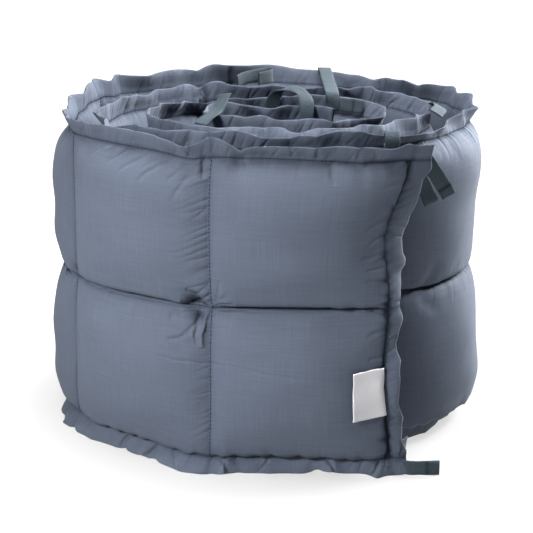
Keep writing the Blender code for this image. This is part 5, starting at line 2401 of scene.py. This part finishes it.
ARCHED_TAPE = rows(
    Bend,
    (4.0, 57.4, 281.0, 1.0, 0.0, 0.1), (6.0, 55.7, 289.0, 1.0, 0.0, 0.1),
    (10.0, 53.0, 297.0, 0.95, 0.2, 0.2), (16.0, 49.0, 302.5, 0.9, 0.4, 0.2),
    (24.0, 41.5, 304.5, 0.8, 0.6, 0.2), (31.0, 32.0, 304.0, 0.8, 0.6, 0.1),
    (36.0, 21.0, 301.0, 0.95, 0.3, 0.0), (37.5, 12.0, 296.5, 1.0, 0.1, 0.0),
    (37.5, 8.0, 288.0, 1.0, 0.0, 0.0), (37.0, 7.0, 280.0, 1.0, 0.0, 0.0),
)
LEAF_TAPE = rows(
    Bend,
    (-29.2, 120.2, 296.5, 0.0, 0.0, 1.0), (-22.0, 130.5, 298.0, 0.0, 0.0, 1.0),
    (-10.0, 144.0, 298.5, 0.0, 0.0, 1.0), (1.0, 152.0, 298.5, 0.0, 0.0, 1.0),
    (6.0, 150.0, 298.0, 0.0, 0.0, 1.0), (3.0, 143.0, 297.5, 0.0, 0.0, 1.0),
    (-8.0, 133.0, 297.0, 0.0, 0.0, 1.0),
)
SMALL_TAPE = rows(
    Bend,
    (-60.0, -46.0, 288.5, 0.85, -0.3, 0.0), (-55.0, -38.0, 292.0, 0.85, -0.3, 0.0),
    (-49.0, -29.0, 294.4, 0.85, -0.4, 0.0), (-45.0, -19.0, 296.8, 0.85, -0.5, 0.1),
    (-41.0, -7.0, 302.0, 0.80, -0.5, 0.2), (-38.0, 1.0, 307.0, 0.80, -0.5, 0.2),
)
PATCH_TAPE = rows(
    Bend,
    (157.8, 27.0, 290.4, 0.85, 0.10, -0.5), (161.5, 14.0, 293.2, 0.85, 0.05, -0.5),
    (160.5, -4.0, 294.2, 0.85, -0.15, -0.45), (155.0, -22.0, 293.5, 0.80, -0.35, -0.45),
)
TIES = (
    TapeTie("tie_corner_long", CORNER_TAPE, Hold.HUNG, tip=True),
    TapeTie("tie_corner_loop", CORNER_LOOP, Hold.FOLDED),
    TapeTie("tie_floor", FLOOR_TAPE, Hold.LAID, tip=True),
    TapeTie("tie_floor_stub", FLOOR_STUB, Hold.HUNG),
    TapeTie("tie_rolled", ROLLED_TAPE, Hold.FOLDED),
    TapeTie("tie_long", LONG_TAPE, Hold.LAID),
    TapeTie("tie_block", BLOCK_TAPE, Hold.LAID, tip=True),
    TapeTie("tie_arched", ARCHED_TAPE, Hold.FOLDED),
    TapeTie("tie_leaf", LEAF_TAPE, Hold.FOLDED),
    TapeTie("tie_small", SMALL_TAPE, Hold.LAID),
    TapeTie("tie_patch", PATCH_TAPE, Hold.LAID),
)


# ---------------------------------------------------------------- the label

@dataclass
class SideLabel:
    """The bare label, with one edge caught in the side seam."""

    strip: QuiltedStrip
    start: float = 0.0035
    width: float = 0.029
    low: float = 0.0580
    height: float = 0.043
    off: float = 0.0010
    curl: float = 0.0026
    thickness: float = 0.0007
    slope: float = 0.05
    unevenness: float = 0.0003
    uneven_rate: float = 90.0
    seed: float = 3.0
    rim_reach: float = 0.0006
    seam_reach: float = 0.0015
    grid: tuple[int, int] = (22, 30)

    def build(self, material: bpy.types.Material) -> bpy.types.Object:
        """Make the label.

        Args:
            material: Its cloth.

        Returns:
            The finished piece.
        """
        over = np.linspace(0.0, self.width, self.grid[0])
        rise = np.linspace(0.0, self.height, self.grid[1])
        over, rise = np.meshgrid(over, rise, indexing="ij")
        along = self.strip.form.sizes.hem_width + self.start + over
        up = self.low + rise - self.slope * over
        share = over / self.width
        lift = self.off + self.curl * share**3 * (0.5 + rise / self.height)
        lift += self.unevenness * ripple(rise * self.uneven_rate + share, self.seed) * share
        cloth, normal = self.strip.surface(Face.OUTER, along, up)
        back = cloth + normal * lift[..., None]
        front = cloth + normal * (lift + self.thickness)[..., None]
        thing = shell_object("bare_side_label", back, front)
        set_cloth_uv(thing, np.concatenate([over.ravel(), over.ravel() + self.width]), twice(rise))
        edge = np.minimum(np.minimum(rise, self.height - rise), self.width - over)
        set_attribute(thing, "rim", np.exp(-edge / self.rim_reach))
        set_attribute(thing, "near_seam", np.exp(-over / self.seam_reach))
        thing.data.materials.append(material)
        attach(thing, "root")
        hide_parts("side_label")
        LOG.info("%s: %.0f by %.0f mm", thing.name, self.width / MILLIMETRE, self.height / MILLIMETRE)
        return thing


# ---------------------------------------------------------------- the studio

WHITE = opaque((1.0, 1.0, 1.0))


def facing(place: tuple[float, float, float], aim: tuple[float, float, float]) -> Euler:
    """Return the rotation with which a light or a camera faces its aim."""
    return (Vector(aim) - Vector(place)).to_track_quat("-Z", "Y").to_euler()


@dataclass(frozen=True)
class SoftBox:
    """A square studio light."""

    name: str
    place: tuple[float, float, float]
    aim: tuple[float, float, float]
    size: float
    power: float
    spread: float = 180.0

    def build(self) -> None:
        """Hang the light."""
        lamp = bpy.data.lights.new(self.name, "AREA")
        lamp.size = self.size
        lamp.energy = self.power
        lamp.spread = math.radians(self.spread)
        thing = bpy.data.objects.new(self.name, lamp)
        thing.location = self.place
        thing.rotation_euler = facing(self.place, self.aim)
        bpy.context.scene.collection.objects.link(thing)


@dataclass(frozen=True)
class Studio:
    """The pale floor, the soft light and the camera at the photograph's angle."""

    camera_place: tuple[float, float, float] = (0.0011, -1.5380, 0.603)
    camera_aim: tuple[float, float, float] = (0.0011, -0.0063, 0.1406)
    lens: float = 113.30
    sensor: float = 36.0
    floor_size: float = 14.0
    lights: tuple[SoftBox, ...] = (
        SoftBox("key_light", (-0.917, -0.873, 0.79), (-0.08, -0.15, 0.14), 0.30, 1.65, 32.0),
        SoftBox("side_light", (1.110, 0.297, 1.114), (0.0, -0.05, 0.15), 0.45, 49.0),
        SoftBox("edge_light", (1.080, 0.906, 0.663), (0.0, -0.05, 0.15), 0.45, 58.0),
        SoftBox("top_light", (0.0, 0.0, 1.6), (0.0, 0.0, 0.2), 0.80, 54.0),
    )
    sky: float = 0.03
    floor_colour: Colour = (0.085, 0.085, 0.085)
    # The floor's glow near and far; it dims toward this middle over this reach as the roll's painted
    # shadow.
    painted_shadow_middle: tuple[float, float, float] = (0.060, 0.020, 0.0)
    floor_glow: tuple[float, float] = (0.62, 1.08)
    painted_shadow_reach: tuple[float, float] = (0.19, 0.42)

    def build(self) -> None:
        """Set up floor, sky, lights and camera."""
        bpy.context.scene.view_settings.view_transform = "Standard"
        self.lay_floor()
        self.light_sky()
        for light in self.lights:
            light.build()
        self.place_camera()

    def lay_floor(self) -> None:
        """Lay the floor, which glows more further from the roll: the dimmer glow near it is painted shadow.
        """
        half = self.floor_size / 2
        corners = np.array([(-half, -half, 0.0), (half, -half, 0.0), (half, half, 0.0), (-half, half, 0.0)])
        floor = mesh_object("pale_floor", corners, np.array([(0, 1, 2, 3)]))
        material, tree, shader = new_material("pale_floor")
        tree.feed(opaque(self.floor_colour), shader["Base Color"])
        tree.feed(0.9, shader["Roughness"])
        tree.feed(WHITE, shader["Emission Color"])
        # Painted shadow: the floor glows less near the roll.
        place = tree.add("ShaderNodeTexCoord")["Object"]
        away = tree.vectors("DISTANCE", place, self.painted_shadow_middle)["Value"]
        fed = dict(zip(("From Min", "From Max", "To Min", "To Max"), self.painted_shadow_reach + self.floor_glow))
        fed["Value"] = away
        glow = tree.add("ShaderNodeMapRange", fed=fed, interpolation_type="SMOOTHSTEP")
        tree.feed(glow["Result"], shader["Emission Strength"])
        floor.data.materials.append(material)

    def light_sky(self) -> None:
        """Light the surroundings evenly."""
        world = bpy.data.worlds.new("studio_sky")
        world.use_nodes = True
        backdrop = world.node_tree.nodes["Background"]
        backdrop.inputs["Color"].default_value = WHITE
        backdrop.inputs["Strength"].default_value = self.sky
        bpy.context.scene.world = world

    def place_camera(self) -> None:
        """Put the camera where the photograph was taken from."""
        lens = bpy.data.cameras.new("photo_camera")
        lens.lens = self.lens
        lens.sensor_width = self.sensor
        lens.clip_end = 50.0
        camera = bpy.data.objects.new("photo_camera", lens)
        camera.location = self.camera_place
        camera.rotation_euler = facing(self.camera_place, self.camera_aim)
        bpy.context.scene.collection.objects.link(camera)
        bpy.context.scene.camera = camera


# ---------------------------------------------------------------- everything

PADDED_COTTON = CottonFinish(
    "slate_padded_cotton",
    colour=(0.0545, 0.0662, 0.0920),
    light=(0.0690, 0.0823, 0.1110),
    dark=(0.0405, 0.0505, 0.0730),
    deep=(0.012, 0.015, 0.022),
    streaks=1.5,
    creases=tuple(row for row in CREASES if row.face is Face.OUTER and row.width < FINE_CREASE),
)
TAPE_COTTON = CottonFinish(
    "teal_tape_cotton",
    colour=(0.022, 0.033, 0.042),
    light=(0.038, 0.053, 0.065),
    dark=(0.011, 0.018, 0.025),
    deep=(0.009, 0.014, 0.018),
    threads=1300.0,
    rib=0.6,
    weave_depth=0.30,
    streaks=0.9,
)
LABEL_CLOTH = CottonFinish(
    "white_label_cloth",
    colour=(0.47, 0.47, 0.49),
    light=(0.52, 0.52, 0.53),
    dark=(0.41, 0.41, 0.43),
    deep=(0.16, 0.16, 0.17),
    threads=2600.0,
    weave_depth=0.03,
    streaks=0.2,
    sheen=0.02,
    sheen_colour=(1.0, 1.0, 1.0),
)
SEWING_THREAD = ThreadFinish(
    "slate_sewing_thread",
    colour=(0.014, 0.018, 0.025),
    dark=(0.007, 0.009, 0.014),
)


def main() -> None:
    """Build the studio, then the bumper's pieces in order."""
    logging.basicConfig(level=logging.INFO, format="%(name)s: %(message)s", stream=sys.stdout)
    Studio().build()
    effects = ClothEffects()
    form = BumperForm()
    cotton = PADDED_COTTON.build(effects)
    tape = TAPE_COTTON.build(effects)
    strip = QuiltedStrip(form)
    strip.build(cotton)
    Stitches(strip).build(SEWING_THREAD.build())
    SideLabel(strip).build(LABEL_CLOTH.build(effects))
    for tie in TIES:
        tie.build(form.sizes.axis_place, tape)


if __name__ == "__main__":
    main()
